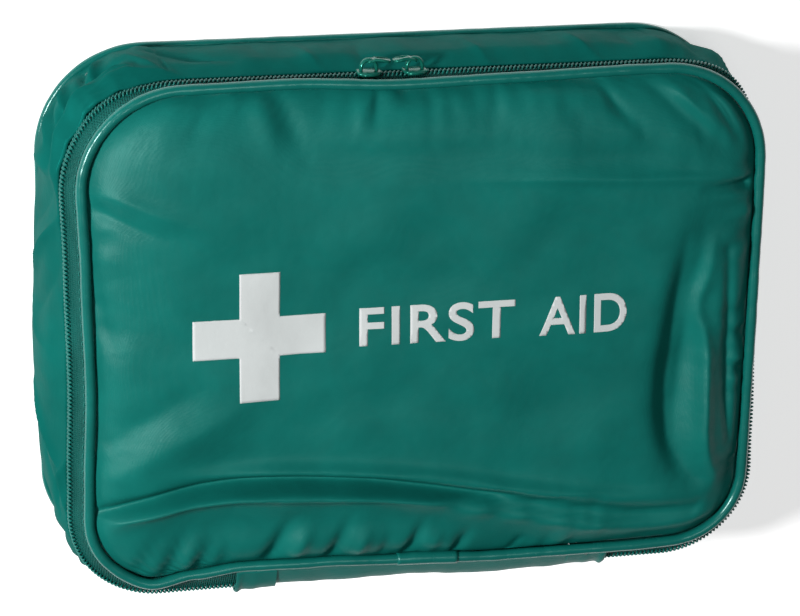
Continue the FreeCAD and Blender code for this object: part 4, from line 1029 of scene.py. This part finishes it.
def build_slider(side):
    """A shield-shaped slider: two plates round the coil, and an arched crown for the pull."""
    low, high = tucked(f"{side}_slider", SLIDER_TUCK)
    facing = 1 if side == "left" else -1        # the nose points along the way it closes
    centre = (low + high) / 2
    long, wide = high[0] - low[0], high[2] - low[2]
    shield = [(-long / 2, wide * 0.30), (-long * 0.42, wide * 0.44), (-long * 0.1, wide * 0.5),
              (long * 0.25, wide * 0.5), (long * 0.45, wide * 0.40), (long / 2, wide * 0.2)]
    outline = [(x * facing, z) for x, z in shield] + [(x * facing, -z) for x, z in reversed(shield)]
    shape = Shape()
    for at, thickness in ((high[1] - 3.4, 1.1), (low[1] + 2.2, 1.0)):
        points, faces = plate(outline, thickness, 0.38)
        bowl = 0.35 * (points[:, 1] / (wide / 2)) ** 2
        shape.add(np.column_stack([points[:, 0] + centre[0], at + points[:, 2] - bowl,
                                   points[:, 1] + centre[2]]), faces)
    # the flanges that close over the coil
    for way in (-1, 1):
        rim = [(centre[0] + long * along, high[1] - FLANGE_DEPTH + bulge, centre[2] + way * wide * out)
               for along, bulge, out in ((-0.36, 0, 0.45), (0, FLANGE_BULGE, 0.475), (0.36, 0, 0.45))]
        shape.grid(tube(rim, FLANGE, 8, up=(0, 1, 0)), wrap_rows=True, caps=True)
    # the crown, an arch that the pull hangs from
    arch = []
    for step in range(13):
        angle = math.pi * step / 12
        arch.append((centre[0] - CROWN_REACH * math.cos(angle),
                     high[1] - CROWN_FOOT + CROWN_RISE * math.sin(angle) ** 0.7, centre[2]))
    shape.grid(tube(arch, CROWN_GIRTH, 10, squash=1.7, up=(0, 0.01, 1)), wrap_rows=True, caps=True)
    add_piece(f"slider_{side}", shape, ENAMEL, f"{side}_slider_body",
              [f"{side}_slider"])


def build_pull(side):
    """A short pull: an eye round the crown and a tongue with a raised rim."""
    low, high = tucked(f"{side}_pull", PULL_TUCK)
    way = 1 if side == "left" else -1           # the left pull lies towards +X, the right one -X
    start = low[0] if way > 0 else high[0]
    long, wide = high[0] - low[0], high[2] - low[2]
    at_z, at_y = (low[2] + high[2]) / 2, (low[1] + high[1]) / 2
    outline = [(0.0, wide * 0.30), (long * 0.12, wide * 0.42), (long * 0.35, wide * 0.36),
               (long * 0.6, wide * 0.44), (long * 0.85, wide * 0.5), (long * 0.97, wide * 0.36),
               (long, wide * 0.12)]
    outline = outline + [(x, -z) for x, z in reversed(outline)]
    points, faces = plate(outline, PULL_THICK, 0.3)
    shape = Shape()
    curl = PULL_ARCH * np.sin(np.pi * (points[:, 0] / long) ** 0.8)
    shape.add(np.column_stack([start + way * points[:, 0], at_y + points[:, 2] + curl,
                               at_z + points[:, 1]]), faces)
    rim = [(start + way * x, at_y + PULL_ARCH * math.sin(math.pi * (x / long) ** 0.8) + 0.3,
            at_z + 0.8 * z) for x, z in outline[2:-2]]
    shape.grid(tube(rim, RIM, 7, closed=True, up=(0, 1, 0)), wrap_rows=True, wrap_columns=True)
    add_piece(f"pull_{side}", shape, ENAMEL, f"{side}_pull_tab", [f"{side}_pull"])


for side in ("left", "right"):
    build_slider(side)
    build_pull(side)

# ---------------------------------------------------------------- contents
WRAP = make_look("clear_film_over_white", (0.80, 0.82, 0.82), 0.16, 0.06,
                 [("cells", 60, 0.8), ("noise", 260, 0.25)], contrast=0.05,
                 Coat_Weight=0.8, Coat_Roughness=0.06)
PAPER = make_look("creped_paper", (0.84, 0.85, 0.84), 0.8, 0.08,
                  [("weave", 260, 0.25), ("noise", 320, 0.3)], contrast=0.04)
CARD = make_look("printed_card", (0.83, 0.83, 0.79), 0.6, 0.08, [("noise", 500, 0.05)], contrast=0.04)
GAUZE = make_look("knitted_cotton", (0.86, 0.84, 0.79), 0.95, 0.04,
                  [("weave", 300, 0.5), ("noise", 420, 0.3)], contrast=0.07, Sheen_Weight=0.3)
ROLL_TAPE = make_look("paper_tape", (0.85, 0.83, 0.79), 0.7, 0.08,
                      [("rings", 1500, 0.08), ("noise", 600, 0.08)], contrast=0.05)
BOARD = make_look("wound_card", (0.42, 0.31, 0.19), 0.85, 0.06, [("noise", 500, 0.1)])
FOIL = make_look("crinkled_foil", (0.78, 0.78, 0.80), 0.2, 0.08,
                 [("cells", 110, 1.2), ("cells", 340, 0.4)], contrast=0.04, Metallic=1.0)
VINYL = make_look("folded_vinyl", (0.10, 0.26, 0.52), 0.35, 0.08,
                  [("cells", 70, 0.9), ("noise", 300, 0.3)], contrast=0.12,
                  Coat_Weight=0.6, Coat_Roughness=0.1)
STEEL = make_look("bright_steel", (0.62, 0.63, 0.64), 0.24, 0.07,
                  [("noise", 1400, 0.02)], contrast=0.04, Metallic=1.0)
GRIP = make_look("green_grip", (0.008, 0.16, 0.10), 0.32, 0.06, [("noise", 700, 0.05)],
                 Coat_Weight=0.3, Coat_Roughness=0.12)


def pillow(low, high, crimp, wrinkle, seed, power, serrate):
    """A filled packet: two faces that meet at a flat crimp at each end of its longer side."""
    size, centre = high - low, (low + high) / 2
    across, along = (0, 1) if size[1] >= size[0] else (1, 0)
    rows, columns = max(14, round(size[along] / 1.6)), max(12, round(size[across] / 1.6))
    b, a = np.meshgrid(np.linspace(-1, 1, columns), np.linspace(-1, 1, rows))
    reach = size[along] / 2
    end = np.clip(np.abs(a) * reach / (reach - crimp), 0, 1)
    full = (1 - end ** power) ** 0.5 * (1 - np.abs(b) ** power) ** 0.5
    pulled = 1 - 0.035 * (1 - end ** 2) * np.abs(b)
    flat = np.zeros((rows, columns, 3))
    flat[..., along], flat[..., across] = a * reach, b * size[across] / 2 * pulled
    sheets = []
    for way in (1, -1):
        grid = np.array(flat)
        crease = wrinkle * ripple(grid + centre, (9, 9, 9), seed + way)
        crease += 0.5 * wrinkle * ripple(grid + centre, (4, 4, 4), seed + 3 + way)
        grid[..., 2] = way * np.maximum(0.22, (size[2] / 2 - wrinkle) * full + crease * full)
        grid[..., 2] += serrate * (end >= 1) * np.sin(grid[..., across] * 4.2)
        sheets.append(grid + centre)
    top, bottom = sheets
    count = rows * columns
    shape = Shape()
    mesh = grid_faces(rows, columns)
    shape.add(np.concatenate([top.reshape(-1, 3), bottom.reshape(-1, 3)]),
              mesh + [tuple(count + i for i in reversed(face)) for face in mesh])
    rim = (list(range(columns)) + [r * columns + columns - 1 for r in range(1, rows)]
           + [(rows - 1) * columns + c for c in range(columns - 2, -1, -1)]
           + [r * columns for r in range(rows - 2, 0, -1)])
    shape.faces.extend((i, j, count + j, count + i) for i, j in zip(rim, rim[1:] + rim[:1]))
    return shape


PACKS = (
    # piece, node, material, slot, crimp, wrinkle, power, fill
    ("bandage_pack_lower", "lower_triangular_bandage", WRAP, "clear_wrap", 5.0, 0.7, 6, 0.8),
    ("bandage_pack_upper", "upper_triangular_bandage", WRAP, "clear_wrap", 5.0, 0.7, 6, 0.8),
    ("foil_blanket", "foil_blanket_pack", FOIL, "foil_film", 5.0, 0.9, 5, 0.7),
    ("glove_bag", "glove_pack", VINYL, "glove_vinyl", 4.0, 0.6, 5, 0.5),
    ("dressing_pack_large", "large_dressing_pack", PAPER, "paper_wrap", 6.0, 0.8, 4, 0.8),
    ("dressing_pack_lower", "lower_medium_dressing", PAPER, "paper_wrap", 5.0, 0.8, 4, 0.8),
    ("dressing_pack_upper", "upper_medium_dressing", PAPER, "paper_wrap", 5.0, 0.8, 4, 0.8),
    ("eye_dressing", "eye_dressing_pack", PAPER, "paper_wrap", 5.0, 0.7, 4, 0.7),
    ("face_shield", "face_shield_pack", WRAP, "clear_wrap", 4.0, 0.4, 6, 0.5),
    ("plaster_folder", "plaster_wallet", CARD, "card_stock", 0.6, 0.15, 14, 0.6),
)


def build_packs():
    for index, (name, node, look, slot, crimp, wrinkle, power, fill) in enumerate(PACKS):
        low, high = span(node)
        shape = pillow(low, high, crimp, wrinkle, 20 + 5 * index, power, serrate=0.12)
        piece = add_piece(name, shape, look, CASE, [node], divide=1)


WIPES = 6


def build_wipes():
    low, high = span("cleansing_wipes")
    pitch = (high[2] - low[2]) / WIPES
    shape = Shape()
    for index in range(WIPES):
        base = np.array([low[0] + 0.4, low[1] + 0.4, low[2] + index * pitch + 0.1])
        top = np.array([high[0] - 0.4, high[1] - 0.4, low[2] + (index + 1) * pitch - 0.1])
        one = pillow(base, top, 5.0, 0.15, 80 + index, power=4, serrate=0.1)
        shape.add(one.points, one.faces)
    add_piece("wipe_sachets", shape, WRAP, CASE, ["cleansing_wipes"])


def lathe(profile, centre, axis, sides=72):
    """A grid of a profile of (radius, along) turned round an axis ("y" or "z") at a centre."""
    angle = np.linspace(0, 2 * math.pi, sides, endpoint=False)
    rows = []
    for radius, along in profile:
        ring = [radius * np.cos(angle), radius * np.sin(angle), np.full(sides, float(along))]
        if axis == "y":
            ring = [ring[0], ring[2], ring[1]]
        rows.append(np.column_stack(ring) + centre)
    return np.array(rows)


def wound_profile(outer, inner, half, layers):
    """A roll's section: ends grooved by its layers, corners rounded."""
    profile = [(outer - 0.25, half), (outer, half - 0.4), (outer, -half + 0.4), (outer - 0.25, -half)]
    steps = np.linspace(outer - 0.5, inner, layers)
    lower = [(radius, -half + (0.35 if index % 2 else 0.0)) for index, radius in enumerate(steps)]
    upper = [(radius, -along) for radius, along in reversed(lower)]
    return profile + lower + upper


CORE_WALL = 1.2


def build_rolls():
    low, high = span("adhesive_tape_roll")
    core_low, core_high = span("tape_roll_core")
    centre = (low + high) / 2
    half = (high[2] - low[2]) / 2
    outer, core = (high[0] - low[0]) / 2, (core_high[0] - core_low[0]) / 2
    roll = lathe(wound_profile(outer, core + 0.05, half, 16), centre, "z")
    add_piece("tape_roll", Shape().grid(roll, True, True), ROLL_TAPE, CASE,
              ["adhesive_tape_roll"])
    bore = core - CORE_WALL
    ring = [(core, half - 0.2), (core - 0.2, half), (bore + 0.2, half), (bore, half - 0.2),
            (bore, -half + 0.2), (bore + 0.2, -half), (core - 0.2, -half), (core, -half + 0.2)]
    add_piece("tape_core", Shape().grid(lathe(ring, centre, "z"), True, True), BOARD,
              CASE, ["tape_roll_core"])
    low, high = span("conforming_bandage")
    centre, half = (low + high) / 2, (high[1] - low[1]) / 2
    outer = (high[0] - low[0]) / 2
    grid = lathe(wound_profile(outer - 0.4, 1.2, half, 22), centre, "y", 96)
    grid += 0.3 * ripple(grid, (6, 12, 6), 90)[..., None] * (0.5, 0.2, 0.5)
    add_piece("bandage_roll", Shape().grid(grid, True, True), GAUZE, CASE,
              ["conforming_bandage"])


def build_leaflet():
    """A leaflet folded in a Z, a little sprung open at its folds."""
    low, high = span("guidance_leaflet")
    sheet, layers = 0.3, 4
    path = []
    gap = (high[2] - low[2] - sheet) / (layers - 1)
    for layer in range(layers):
        ends = np.linspace(low[0] + 0.5, high[0] - 0.5, 20)
        if layer % 2:
            ends = ends[::-1]
        path.extend((x, low[2] + sheet / 2 + layer * gap) for x in ends)
    path = np.array(path)
    rows = []
    for y in np.linspace(low[1], high[1], 26):
        lift = 0.12 * math.sin((y - low[1]) / 9)
        rows.append(np.column_stack([path[:, 0], np.full(len(path), y), path[:, 1] + lift * 0.3]))
    shape = Shape().grid(np.array(rows))
    add_piece("folded_leaflet", shape, CARD, CASE, ["guidance_leaflet"], thick=0.2)


build_packs()
build_wipes()
build_rolls()
build_leaflet()

# the instruments keep their CAD meshes
for node, look in (("tweezers", STEEL), ("safety_pins", STEEL), ("scissors_lower_blade", STEEL),
                   ("scissors_upper_blade", STEEL), ("scissors_rivet", STEEL),
                   ("scissors_lower_grip", GRIP), ("scissors_upper_grip", GRIP)):
    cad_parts[node].data.materials.clear()
    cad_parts[node].data.materials.append(look)


# ---------------------------------------------------------------- floor, light and camera
FLOOR_REACH, FLOOR_HEIGHT, FLOOR_GLOW, WORLD_LIGHT = 3000.0, -0.05, 0.56, 0.08
# the camera: where it stands round the object, above it and how it is rolled, in degrees
TURN, RISE, ROLL = -146.71, 66.134, 1.186
DISTANCE, TARGET = 1032.03, (0, 0, 30)
SENSOR, LENS, SHIFT = 36.0, 138.3, (-0.0119, 0.0083)


def build_stage():
    floor_look = make_look("pale_floor", (0.85, 0.85, 0.85), 0.9, 0.03, contrast=0.005, patch=3,
                           Emission_Color=(1, 1, 1, 1), Emission_Strength=FLOOR_GLOW)
    points = [(x * FLOOR_REACH, y * FLOOR_REACH, FLOOR_HEIGHT)
              for x, y in ((-1, -1), (1, -1), (1, 1), (-1, 1))]
    floor = make_object("floor", Shape().add(points, [(0, 1, 2, 3)]))
    floor.data.materials.append(floor_look)
    world = bpy.data.worlds.new("studio")
    world.use_nodes = True
    backdrop = world.node_tree.nodes["Background"]
    backdrop.inputs["Color"].default_value = (1, 1, 1, 1)
    backdrop.inputs["Strength"].default_value = WORLD_LIGHT
    bpy.context.scene.world = world


def add_light(name, place, power, size):
    data = bpy.data.lights.new(name, "AREA")
    data.energy, data.shape, data.size = power, "DISK", size
    light = bpy.data.objects.new(name, data)
    light.location = place
    light.rotation_euler = (-Vector(place)).to_track_quat("-Z", "Y").to_euler()
    bpy.context.collection.objects.link(light)


def build_camera():
    """The photograph's viewing angle: from high on the upper left, slightly rolled."""
    turn, rise, roll = math.radians(TURN), math.radians(RISE), math.radians(ROLL)
    back = Vector((math.sin(turn) * math.cos(rise), -math.cos(turn) * math.cos(rise),
                   math.sin(rise)))
    right = Vector((0, 1, 0)).cross(back).normalized()
    above = back.cross(right)
    right, above = (math.cos(roll) * right + math.sin(roll) * above,
                    math.cos(roll) * above - math.sin(roll) * right)
    data = bpy.data.cameras.new("camera")
    data.sensor_width, data.lens = SENSOR, LENS
    data.shift_x, data.shift_y = SHIFT
    data.clip_start, data.clip_end = 0.01, 20
    camera = bpy.data.objects.new("camera", data)
    place = Matrix((right, above, back)).transposed().to_4x4()
    place.translation = (Vector(TARGET) + back * DISTANCE) * MM
    camera.matrix_world = place
    bpy.context.collection.objects.link(camera)
    bpy.context.scene.camera = camera


build_stage()
add_light("key", (-0.84, 0.20, 0.80), 15.5, 0.18)
add_light("top", (0.05, 0.10, 1.20), 2.2, 0.5)
build_camera()
bpy.context.scene.view_settings.view_transform = "Standard"
